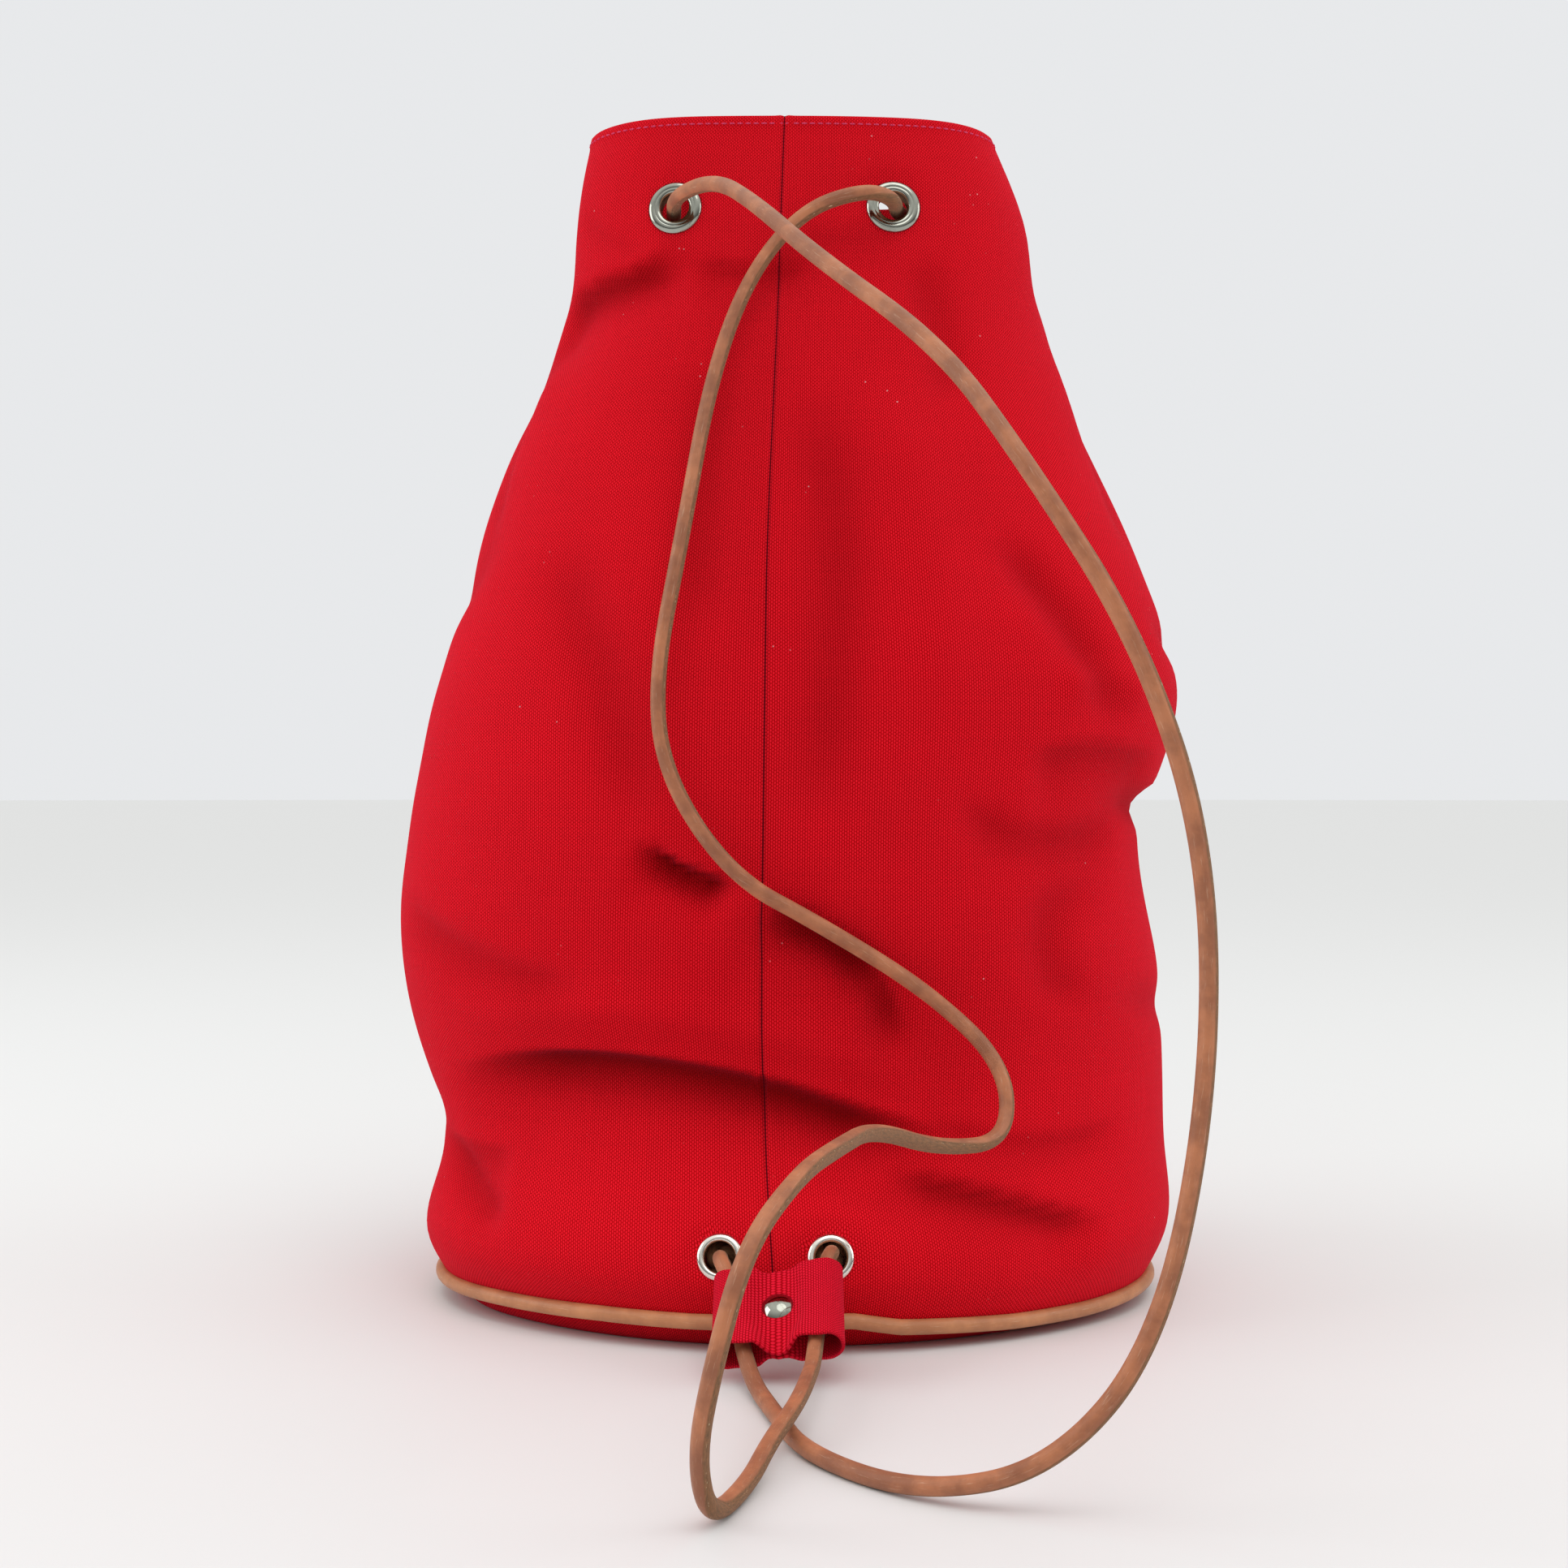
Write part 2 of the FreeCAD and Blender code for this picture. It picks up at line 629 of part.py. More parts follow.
nodes = {}
nodes["sack_body"] = SHELL.cut([piping_ring(PIPING_RADIUS, 0)] + mouth_cuts + strap_cuts)
nodes["mouth_facing"] = facing_outer.cut(facing_inner).common(facing_zone).cut(mouth_cuts)
nodes["seam_tape"] = seam_tape()
nodes["base_panel"], nodes["base_edge"] = base_cloth()
nodes["base_seam_tape"] = base_tape()
nodes["piping_cover"] = piping_ring(PIPING_RADIUS, PIPING_RADIUS - PIPING_COVER_WALL)
nodes["piping_core"] = piping_ring(PIPING_RADIUS - PIPING_COVER_WALL - PIPING_CORE_GAP, 0)
for group, places, radius, stack in (
    ("eyelet_", mouth, MOUTH_EYELET_RADIUS, mouth_stack),
    ("strap_eyelet_", strap, STRAP_EYELET_RADIUS, strap_stack),
):
    for name, place in places.items():
        nodes[group + name + "_barrel"] = placed(eyelet_barrel(radius, stack), *place)
        nodes[group + name + "_washer"] = placed(eyelet_washer(radius, stack), *place)
nodes["keeper_sleeve"] = on_keeper(keeper_sleeve())
nodes["keeper_rivet_cap"] = on_keeper(rivet_cap())
nodes["keeper_rivet_post"] = on_keeper(rivet_post())
nodes["drawcord"] = cord
nodes["knot_left"] = knot(cord_line[0], first_way)
nodes["knot_right"] = knot(cord_line[-1], last_way)

for name, shape in nodes.items():
    print(name, len(shape.Solids), shape.isValid(), round(shape.Volume), shape.BoundBox)
    shape.exportStep("parts/" + name + ".step")

section_volume = math.pi * CORD_RADIUS**2 * cord_length
print("cord length", round(cord_length), "volume share", round(cord.Volume / section_volume, 4))
for k, radius, turn in cord_bends:
    print("cord bend", k, "radius", round(radius, 1), "turn", round(turn))
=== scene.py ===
"""Looks for a standing canvas drawstring sack: woven canvas, leather cord and piping, nickel
eyelets, a riveted keeper. Metres; the floor is Z = 0, the strap side faces -Y."""

import math
import random

import bmesh
import bpy
import numpy as np
from mathutils import Matrix, Vector


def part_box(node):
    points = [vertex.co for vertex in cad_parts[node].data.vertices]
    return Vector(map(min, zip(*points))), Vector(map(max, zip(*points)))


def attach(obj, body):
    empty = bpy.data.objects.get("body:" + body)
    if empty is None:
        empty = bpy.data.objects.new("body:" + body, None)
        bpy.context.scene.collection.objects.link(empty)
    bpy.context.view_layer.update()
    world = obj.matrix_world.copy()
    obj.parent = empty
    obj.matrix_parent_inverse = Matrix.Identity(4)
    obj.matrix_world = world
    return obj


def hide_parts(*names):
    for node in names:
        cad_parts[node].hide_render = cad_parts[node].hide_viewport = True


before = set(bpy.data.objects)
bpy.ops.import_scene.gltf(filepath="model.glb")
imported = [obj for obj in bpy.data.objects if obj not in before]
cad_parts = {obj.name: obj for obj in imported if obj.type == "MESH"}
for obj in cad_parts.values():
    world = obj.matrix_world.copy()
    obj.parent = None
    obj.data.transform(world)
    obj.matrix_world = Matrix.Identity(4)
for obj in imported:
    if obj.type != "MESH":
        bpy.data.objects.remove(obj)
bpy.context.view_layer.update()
bpy.ops.object.select_all(action="DESELECT")
random.seed(7)
MM = 0.001

# ---------------------------------------------------------------- camera
camera_data = bpy.data.cameras.new("camera")
camera_data.sensor_width = 36.0
camera_data.lens = 48.45
camera = bpy.data.objects.new("camera", camera_data)
camera.location = (0.0, -0.768, 0.179)
camera.rotation_euler = (math.radians(90.176), 0.0, 0.0)
bpy.context.scene.collection.objects.link(camera)
bpy.context.scene.camera = camera
bpy.context.scene.view_settings.view_transform = "Standard"

# ---------------------------------------------------------------- the cord's route
CORD_DIAMETER = 0.005
CORD_POINTS = (
    # knot, left strap eyelet, keeper, loop in front, left mouth eyelet
    (-0.0201, -0.0914, 0.0290),
    (-0.0208, -0.0978, 0.0314),
    (-0.0175, -0.1029, 0.0261),
    (-0.0128, -0.1272, 0.0109),
    (-0.0090, -0.1420, 0.0030),
    (-0.0030, -0.1680, 0.0025),
    (0.0060, -0.2070, 0.0025),
    (0.0340, -0.2380, 0.0025),
    (0.0660, -0.2490, 0.0120),
    (0.0920, -0.2500, 0.0430),
    (0.1065, -0.2400, 0.1020),
    (0.1065, -0.2380, 0.1650),
    (0.0885, -0.2420, 0.2170),
    (0.0600, -0.2400, 0.2620),
    (0.0410, -0.2140, 0.2960),
    (0.0090, -0.1720, 0.3300),
    (-0.0090, -0.1340, 0.3560),
    (-0.0220, -0.0920, 0.3750),
    (-0.0364, -0.0710, 0.3755),
    # through the pleats and round the back
    (-0.0376, -0.0460, 0.3750),
    (-0.0395, -0.0240, 0.3750),
    (-0.0498, 0.0016, 0.3750),
    (-0.0406, 0.0240, 0.3750),
    (-0.0430, 0.0460, 0.3750),
    (-0.0462, 0.0700, 0.3755),
    (-0.0370, 0.0795, 0.3760),
    (-0.0140, 0.0830, 0.3760),
    (0.0140, 0.0835, 0.3760),
    (0.0370, 0.0810, 0.3760),
    (0.0458, 0.0720, 0.3755),
    (0.0455, 0.0500, 0.3750),
    (0.0713, 0.0016, 0.3750),
    (0.0600, -0.0220, 0.3750),
    (0.0385, -0.0480, 0.3750),
    # right mouth eyelet, down the front, floor, keeper, right strap eyelet, knot
    (0.0366, -0.0705, 0.3750),
    (0.0260, -0.0730, 0.3770),
    (0.0060, -0.0700, 0.3710),
    (-0.0120, -0.0730, 0.3480),
    (-0.0240, -0.0820, 0.3120),
    (-0.0320, -0.0960, 0.2620),
    (-0.0410, -0.1020, 0.2140),
    (-0.0375, -0.1020, 0.1830),
    (-0.0165, -0.1000, 0.1515),
    (0.0120, -0.0960, 0.1360),
    (0.0470, -0.0880, 0.1140),
    (0.0710, -0.0940, 0.0910),
    (0.0705, -0.1020, 0.0680),
    (0.0470, -0.1260, 0.0700),
    (0.0250, -0.1680, 0.0830),
    (0.0145, -0.2060, 0.0840),
    (0.0040, -0.2440, 0.0840),
    (-0.0090, -0.2680, 0.0710),
    (-0.0165, -0.2720, 0.0440),
    (-0.0210, -0.2640, 0.0200),
    (-0.0180, -0.2580, 0.0027),
    (-0.0093, -0.2320, 0.0026),
    (-0.0037, -0.2070, 0.0060),
    (0.0020, -0.1890, 0.0085),
    (0.0053, -0.1720, 0.0093),
    (0.0073, -0.1560, 0.0094),
    (0.0089, -0.1395, 0.0086),
    (0.0128, -0.1040, 0.0298),
    (0.0155, -0.0989, 0.0332),
    (0.0151, -0.0925, 0.0307),
)


def link(obj):
    bpy.context.scene.collection.objects.link(obj)
    return obj


def nurbs_line(name, points, steps):
    """Points along a NURBS route, read from the curve as a plain line."""
    data = bpy.data.curves.new(name, "CURVE")
    data.dimensions = "3D"
    data.resolution_u = steps
    spline = data.splines.new("NURBS")
    spline.points.add(len(points) - 1)
    for control, point in zip(spline.points, points):
        control.co = (*point, 1.0)
    spline.order_u = 3
    spline.use_endpoint_u = True
    obj = link(bpy.data.objects.new(name, data))
    bpy.context.view_layer.update()
    line = bpy.data.meshes.new_from_object(obj)
    result = np.array([v.co[:] for v in line.vertices])
    bpy.data.objects.remove(obj)
    bpy.data.curves.remove(data)
    bpy.data.meshes.remove(line)
    return result


def run_along(points):
    """How far along a line each of its points is."""
    return np.concatenate([[0.0], np.cumsum(np.linalg.norm(np.diff(points, axis=0), axis=1))])


def read_line(points, lengths, at):
    """Places on a line whose points are at the given lengths."""
    return np.stack([np.interp(at, lengths, part) for part in points.T], axis=-1)


def even_line(points, step):
    """The same line with evenly spaced points."""
    lengths = run_along(points)
    count = max(4, int(round(lengths[-1] / step)))
    return read_line(points, lengths, np.linspace(0.0, lengths[-1], count + 1))


def round_angles(count):
    return np.linspace(0.0, 2 * math.pi, count, endpoint=False)


def unit(v):
    return v / np.maximum(np.linalg.norm(v, axis=-1, keepdims=True), 1e-12)


def grid_object(name, points, uv, wrap_across=False, wrap_along=False, caps=False):
    """A mesh of quads from points[along, across], with a UV map in metres."""
    rows, cols = points.shape[:2]
    index = np.arange(rows * cols).reshape(rows, cols)
    faces = []
    corner_uv = []
    for r in range(rows if wrap_along else rows - 1):
        r2 = (r + 1) % rows
        for c in range(cols if wrap_across else cols - 1):
            c2 = (c + 1) % cols
            faces.append((index[r, c], index[r, c2], index[r2, c2], index[r2, c]))
            corner_uv.extend((uv[r, c], uv[r, c + 1], uv[r + 1, c + 1], uv[r + 1, c]))
    if caps:
        faces.append(tuple(index[0, ::-1]))
        corner_uv.extend([uv[0, 0]] * cols)
        faces.append(tuple(index[-1]))
        corner_uv.extend([uv[-1, 0]] * cols)
    mesh = bpy.data.meshes.new(name)
    mesh.from_pydata(points.reshape(-1, 3).tolist(), [], [[int(i) for i in f] for f in faces])
    layer = mesh.uv_layers.new(name="cloth")
    layer.data.foreach_set("uv", np.array(corner_uv, dtype=np.float32).ravel())
    mesh.validate()
    return link(bpy.data.objects.new(name, mesh))


def tube_grid(line, radius, sides, lean=(0.0, 0.0, 1.0), closed=False, shape=None):
    """Rings round a line. Side 0 of every ring faces as nearly as it can towards lean."""
    if closed:
        along = unit(np.roll(line, -1, axis=0) - np.roll(line, 1, axis=0))
    else:
        along = unit(np.gradient(line, axis=0))
    lean = np.broadcast_to(np.array(lean, float), line.shape)
    out = lean - along * np.sum(lean * along, axis=1, keepdims=True)
    out = unit(out)
    for _ in range(6):
        previous = np.roll(out, 1, axis=0)
        following = np.roll(out, -1, axis=0)
        if not closed:
            previous[0] = out[0]
            following[-1] = out[-1]
        out = unit(previous + out * 2 + following)
        out = unit(out - along * np.sum(out * along, axis=1, keepdims=True))
    side = np.cross(along, out)
    turn = round_angles(sides)
    scale = np.ones((len(line), sides)) if shape is None else shape(len(line), turn)
    ring = out[:, None, :] * np.cos(turn)[None, :, None]
    ring = ring + side[:, None, :] * np.sin(turn)[None, :, None]
    points = line[:, None, :] + ring * (radius * scale)[:, :, None]
    lengths = run_along(line)
    if closed:
        lengths = np.append(lengths, lengths[-1] + np.linalg.norm(line[0] - line[-1]))
    uv = np.zeros((len(lengths), sides + 1, 2))
    uv[:, :, 0] = lengths[:, None]
    uv[:, :, 1] = np.linspace(0.0, 2 * math.pi * radius, sides + 1)[None, :]
    return points, uv


def select_only(obj):
    bpy.ops.object.select_all(action="DESELECT")
    obj.select_set(True)
    bpy.context.view_layer.objects.active = obj


def smooth(obj, angle=None):
    select_only(obj)
    if angle is None:
        bpy.ops.object.shade_smooth()
    else:
        bpy.ops.object.shade_smooth_by_angle(angle=math.radians(angle))
    obj.select_set(False)
    return obj


def outward(obj):
    """Faces turned to point out of a closed shape."""
    select_only(obj)
    bpy.ops.object.mode_set(mode="EDIT")
    bpy.ops.mesh.select_all(action="SELECT")
    bpy.ops.mesh.remove_doubles(threshold=1e-6)
    bpy.ops.mesh.normals_make_consistent(inside=False)
    bpy.ops.mesh.select_all(action="DESELECT")
    bpy.ops.object.mode_set(mode="OBJECT")
    obj.select_set(False)
    return obj


def modify(obj, kind, **settings):
    """Adds a modifier and applies it."""
    modifier = obj.modifiers.new(kind.lower(), kind)
    for key, value in settings.items():
        setattr(modifier, key, value)
    select_only(obj)
    bpy.ops.object.modifier_apply(modifier=modifier.name)
    obj.select_set(False)
    return obj


def finish_piece(obj, body, material):
    obj.data.materials.clear()
    obj.data.materials.append(material)
    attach(obj, body)
    return obj


# ---------------------------------------------------------------- materials
def node(tree, kind, **settings):
    made = tree.nodes.new(kind)
    for key, value in settings.items():
        setattr(made, key, value)
    return made


def feed(tree, socket, value):
    """Links an output to a socket, or sets the socket to a plain value."""
    if isinstance(value, bpy.types.NodeSocket):
        tree.links.new(value, socket)
    else:
        socket.default_value = value


def feed_all(tree, made, **values):
    """Feeds a node's inputs by name, with _ for a space, and gives its outputs."""
    for key, value in values.items():
        feed(tree, made.inputs[key.replace("_", " ")], value)
    return made.outputs


def calc(tree, operation, *values, clamp=False):
    made = node(tree, "ShaderNodeMath", operation=operation, use_clamp=clamp)
    for socket, value in zip(made.inputs, values):
        feed(tree, socket, value)
    return made.outputs[0]


def times(tree, first, second, clamp=False):
    return calc(tree, "MULTIPLY", first, second, clamp=clamp)


def plus(tree, first, second):
    return calc(tree, "ADD", first, second)


def minus(tree, first, second):
    return calc(tree, "SUBTRACT", first, second)


def one_minus(tree, value, clamp=False):
    return calc(tree, "SUBTRACT", 1.0, value, clamp=clamp)


def blend_colour(tree, share, first, second, how="MIX"):
    made = node(tree, "ShaderNodeMix", data_type="RGBA", blend_type=how)
    feed(tree, made.inputs[0], share)
    feed(tree, made.inputs[6], first)
    feed(tree, made.inputs[7], second)
    return made.outputs[2]


def noise(tree, vector, scale, detail=4.0, roughness=0.6):
    made = node(tree, "ShaderNodeTexNoise")
    values = {"Vector": vector, "Scale": scale, "Detail": detail, "Roughness": roughness}
    return feed_all(tree, made, **values)["Fac"]


def stretched(tree, vector, scale):
    made = node(tree, "ShaderNodeMapping")
    return feed_all(tree, made, Vector=vector, Scale=scale)["Vector"]


def ramp(tree, value, low, high):
    """0 at low, 1 at high, smooth between."""
    made = node(tree, "ShaderNodeMapRange", interpolation_type="SMOOTHSTEP")
    return feed_all(tree, made, Value=value, From_Min=low, From_Max=high)["Result"]


def group(name, inputs, outputs):
    """A shared group. Its inputs are (label, kind); its outputs are all plain values."""
    tree = bpy.data.node_groups.new(name, "ShaderNodeTree")
    for label, kind in inputs:
        tree.interface.new_socket(label, in_out="INPUT", socket_type="NodeSocket" + kind)
    for label in outputs:
        tree.interface.new_socket(label, in_out="OUTPUT", socket_type="NodeSocketFloat")
    start = node(tree, "NodeGroupInput")
    stop = node(tree, "NodeGroupOutput")
    return tree, start.outputs, stop.inputs


def use_group(tree, shared, **values):
    return feed_all(tree, node(tree, "ShaderNodeGroup", node_tree=shared), **values)


def weave_group():
    """Plain-woven canvas: oval crowns of the warp, laid like bricks, with uneven yarn."""
    tree, given, made = group(
        "canvas weave",
        [("Cloth", "Vector"), ("Pitch", "Float"), ("Place", "Vector")],
        ["Height", "Crown", "Yarn"],
    )
    split = node(tree, "ShaderNodeSeparateXYZ")
    feed(tree, split.inputs[0], given["Cloth"])
    column = calc(tree, "DIVIDE", split.outputs[0], given["Pitch"])
    step = calc(tree, "FLOOR", column)
    across = minus(tree, calc(tree, "FRACT", column), 0.5)
    shift = times(tree, calc(tree, "MODULO", step, 2.0), 0.5)
    row = calc(tree, "DIVIDE", split.outputs[1], times(tree, given["Pitch"], 1.45))
    row = plus(tree, row, shift)
    along = minus(tree, calc(tree, "FRACT", row), 0.5)
    wide = calc(tree, "POWER", calc(tree, "ABSOLUTE", calc(tree, "DIVIDE", across, 0.46)), 2.2)
    long = calc(tree, "POWER", calc(tree, "ABSOLUTE", calc(tree, "DIVIDE", along, 0.5)), 2.2)
    crown = one_minus(tree, plus(tree, wide, long), clamp=True)
    crown = calc(tree, "POWER", crown, 0.6)
    warp = noise(tree, stretched(tree, given["Cloth"], (1300.0, 22.0, 1.0)), 1.0, 2.0)
    weft = noise(tree, stretched(tree, given["Cloth"], (20.0, 880.0, 1.0)), 1.0, 2.0)
    yarn = times(tree, plus(tree, warp, weft), 0.5)
    nub = noise(tree, given["Place"], 900.0, 3.0, 0.7)
    height = times(tree, crown, plus(tree, 0.5, yarn))
    height = plus(tree, height, times(tree, nub, 0.35))
    feed(tree, made["Height"], height)
    feed(tree, made["Crown"], crown)
    feed(tree, made["Yarn"], yarn)
    return tree


def dust_group():
    """Sparse pale lint and dust."""
    tree, given, made = group(
        "lint and dust",
        [("Place", "Vector"), ("Scale", "Float")],
        ["Mask"],
    )
    cells = node(tree, "ShaderNodeTexVoronoi", feature="F1")
    feed_all(tree, cells, Vector=given["Place"], Scale=given["Scale"])
    speck = one_minus(tree, ramp(tree, cells.outputs["Distance"], 0.03, 0.09))
    some = ramp(tree, noise(tree, given["Place"], 37.0, 2.0), 0.60, 0.68)
    feed(tree, made["Mask"], times(tree, speck, some))
    return tree


def grain_group():
    """Leather: fine pores, hair-like scuffs along the piece and slow blotches."""
    tree, given, made = group(
        "leather grain",
        [("Skin", "Vector"), ("Place", "Vector")],
        ["Height", "Blotch", "Scuff"],
    )
    pores = noise(tree, given["Place"], 1500.0, 3.0, 0.65)
    scuff = noise(tree, stretched(tree, given["Skin"], (160.0, 1900.0, 1.0)), 1.0, 4.0, 0.65)
    blotch = noise(tree, given["Place"], 85.0, 4.0, 0.6)
    height = plus(tree, times(tree, pores, 0.5), times(tree, scuff, 0.7))
    feed(tree, made["Height"], height)
    feed(tree, made["Blotch"], blotch)
    feed(tree, made["Scuff"], scuff)
    return tree


WEAVE = weave_group()
DUST = dust_group()
GRAIN = grain_group()


def new_material(name):
    material = bpy.data.materials.new(name)
    material.use_nodes = True
    tree = material.node_tree
    shader = tree.nodes["Principled BSDF"]
    place = node(tree, "ShaderNodeTexCoord").outputs["Object"]
    cloth = node(tree, "ShaderNodeUVMap", uv_map="cloth").outputs["UV"]
    return material, tree, shader, place, cloth


def bump(tree, shader, height, strength, distance):
    made = node(tree, "ShaderNodeBump")
    feed_all(tree, made, Strength=strength, Distance=distance, Height=height)
    feed(tree, shader.inputs["Normal"], made.outputs["Normal"])


def canvas(name, deep, crown, pitch, relief, from_place=False, seam=False):
    """Dyed cotton canvas."""
    material, tree, shader, place, cloth = new_material(name)
    weave = use_group(tree, WEAVE, Cloth=place if from_place else cloth, Pitch=pitch, Place=place)
    tone = noise(tree, place, 28.0, 3.0)
    fade = noise(tree, place, 7.0, 2.0)
    # Painted shade and highlight: the colour is darker (deep) between the yarns and lighter
    # (crown) on the warp's crowns.
    colour = blend_colour(tree, weave["Crown"], deep, crown)
    lift = plus(tree, 0.74, times(tree, weave["Yarn"], 0.34))
    lift = plus(tree, lift, times(tree, tone, 0.12))
    lift = plus(tree, lift, times(tree, fade, 0.06))
    vary = node(tree, "ShaderNodeCombineColor")
    for socket in vary.inputs[:3]:
        feed(tree, socket, lift)
    colour = blend_colour(tree, 1.0, colour, vary.outputs[0], "MULTIPLY")
    height = weave["Height"]
    if seam:
        # Painted shade: the fold attribute darkens the colour towards a deep red in creases and
        # under ledges.
        painted_shade_node = node(tree, "ShaderNodeAttribute")
        painted_shade_node.attribute_name = "fold"
        painted_shade = times(tree, painted_shade_node.outputs["Fac"], 0.88, clamp=True)
        colour = blend_colour(tree, painted_shade, colour, (0.16, 0.0, 0.0, 1.0))
        split = node(tree, "ShaderNodeSeparateXYZ")
        feed(tree, split.inputs[0], cloth)
        gap = calc(tree, "MINIMUM", split.outputs[0], minus(tree, PERIMETER, split.outputs[0]))
        line = one_minus(tree, ramp(tree, gap, 0.00012, 0.00042))
        colour = blend_colour(tree, times(tree, line, 0.9), colour, (0.09, 0.002, 0.006, 1.0))
        ridge = times(tree, ramp(tree, gap, 0.0004, 0.0011), 2.2)
        height = plus(tree, height, ridge)
    lint = use_group(tree, DUST, Place=place, Scale=230.0)
    colour = blend_colour(tree, times(tree, lint["Mask"], 0.55), colour, (0.85, 0.60, 0.62, 1.0))
    rough = minus(tree, 0.92, times(tree, weave["Crown"], 0.16))
    feed_all(tree, shader, Base_Color=colour, Roughness=rough, Specular_IOR_Level=0.05)
    sheen_tint = (1.0, 0.10, 0.24, 1.0)
    feed_all(tree, shader, Sheen_Weight=0.18, Sheen_Roughness=0.45, Sheen_Tint=sheen_tint)
    bump(tree, shader, height, 0.75, relief)
    return material


def leather(name, smooth_tone, dark_tone, suede_tone=None, shine=0.42):
    """Vegetable-tanned leather, with a rough flesh side when suede_tone is given."""
    material, tree, shader, place, skin = new_material(name)
    grain = use_group(tree, GRAIN, Skin=skin, Place=place)
    tone = ramp(tree, grain["Blotch"], 0.32, 0.72)
    colour = blend_colour(tree, tone, dark_tone, smooth_tone)
    scuffs = ramp(tree, grain["Scuff"], 0.56, 0.74)
    colour = blend_colour(tree, times(tree, scuffs, 0.35), colour, (0.78, 0.56, 0.40, 1.0))
    rough = plus(tree, shine, times(tree, grain["Scuff"], 0.2))
    height = grain["Height"]
    if suede_tone:
        split = node(tree, "ShaderNodeSeparateXYZ")
        feed(tree, split.inputs[0], skin)
        around = calc(tree, "DIVIDE", split.outputs[1], math.pi * CORD_DIAMETER)
        wander = noise(tree, stretched(tree, skin, (30.0, 300.0, 1.0)), 1.0, 3.0)
        facing = calc(tree, "COSINE", times(tree, around, 2 * math.pi))
        edge = plus(tree, facing, times(tree, minus(tree, wander, 0.5), 0.5))
        rough_side = one_minus(tree, ramp(tree, edge, -0.25, 0.05))
        nap = noise(tree, stretched(tree, skin, (420.0, 1500.0, 1.0)), 1.0, 5.0, 0.75)
        napped = ramp(tree, nap, 0.35, 0.68)
        suede = blend_colour(tree, napped, (0.17, 0.085, 0.04, 1.0), suede_tone)
        colour = blend_colour(tree, rough_side, colour, suede)
        groove = calc(tree, "ABSOLUTE", plus(tree, edge, 0.42))
        groove = one_minus(tree, ramp(tree, groove, 0.03, 0.14))
        # Painted glints: pale gold flecks along the groove, laid into the colour.
        glint_specks = noise(tree, stretched(tree, skin, (650.0, 2200.0, 1.0)), 1.0, 3.0)
        glints = ramp(tree, glint_specks, 0.60, 0.70)
        glint = times(tree, groove, glints)
        colour = blend_colour(tree, times(tree, glint, 0.85), colour, (0.86, 0.72, 0.45, 1.0))
        rough = plus(tree, rough, times(tree, rough_side, 0.35))
        height = plus(tree, height, times(tree, rough_side, times(tree, nap, 1.6)))
        height = minus(tree, height, times(tree, groove, 0.8))
        feed_all(tree, shader, Sheen_Weight=0.12, Sheen_Tint=(1.0, 0.78, 0.62, 1.0))
    feed_all(tree, shader, Base_Color=colour, Roughness=rough, Specular_IOR_Level=0.4)
    bump(tree, shader, height, 0.6, 0.00022)
    return material


def nickel(name, tone, roughness):
    material, tree, shader, place, _ = new_material(name)
    smudge = noise(tree, place, 260.0, 4.0)
    scratches = noise(tree, stretched(tree, place, (2600.0, 300.0, 2600.0)), 1.0, 3.0)
    rough = plus(tree, roughness, times(tree, ramp(tree, smudge, 0.45, 0.75), 0.10))
    dull = tuple(0.82 * c for c in tone[:3]) + (1.0,)
    colour = blend_colour(tree, ramp(tree, smudge, 0.4, 0.8), tone, dull)
    feed_all(tree, shader, Base_Color=colour, Roughness=rough, Metallic=1.0)
    bump(tree, shader, plus(tree, smudge, times(tree, scratches, 0.4)), 0.08, 0.0001)
    return material


PERIMETER = 0.720

WEAVE_PITCH = 0.00077  # from one warp crown to the next

canvas_red = canvas(
    "crimson_canvas",
    (0.46, 0.0, 0.001, 1.0),
    (0.95, 0.010, 0.026, 1.0),
    WEAVE_PITCH,
    0.00026,
    seam=True,
)
canvas_plain = canvas(
    "crimson_canvas_plain",
    (0.38, 0.0, 0.001, 1.0),
    (0.86, 0.010, 0.024, 1.0),
    WEAVE_PITCH,
    0.00026,
)
canvas_fine = canvas(
    "crimson_canvas_fine",
    (0.38, 0.0, 0.004, 1.0),
    (0.86, 0.012, 0.040, 1.0),
    0.00074,
    0.00022,
)
thread_pink = canvas(
    "hem_thread",
    (0.55, 0.02, 0.07, 1.0),
    (0.80, 0.10, 0.22, 1.0),
    0.0004,
    0.0001,
    from_place=True,
)
cord_leather = leather(
    "tan_cord_leather",
    (0.52, 0.190, 0.085, 1.0),
    (0.30, 0.105, 0.050, 1.0),
    suede_tone=(0.31, 0.138, 0.060, 1.0),
)
piping_leather = leather(
    "tan_piping_leather",
    (0.62, 0.27, 0.12, 1.0),
    (0.46, 0.19, 0.085, 1.0),
    shine=0.34,
)
core_cotton = canvas(
    "core_cotton",
    (0.60, 0.56, 0.48, 1.0),
    (0.82, 0.79, 0.70, 1.0),
    0.0006,
    0.0002,
    from_place=True,
)
nickel_mouth = nickel("polished_nickel", (0.36, 0.37, 0.32, 1.0), 0.08)
nickel_strap = nickel("cream_nickel", (0.80, 0.77, 0.70, 1.0), 0.16)

# ---------------------------------------------------------------- cord
cord_line = even_line(nurbs_line("cord_route", CORD_POINTS, 24), 0.0016)


def cord_shape(rings, turn):
    """Nearly round, a little flat on the flesh side, swelling slowly along its length."""
    flat = 1.0 - 0.05 * np.clip(-np.cos(turn), 0.0, 1.0) ** 2
    along = np.arange(rings)
    swell = 1.0 + 0.012 * np.sin(along / 17.0) + 0.008 * np.sin(along / 7.3 + 1.0)
    return swell[:, None] * flat[None, :]


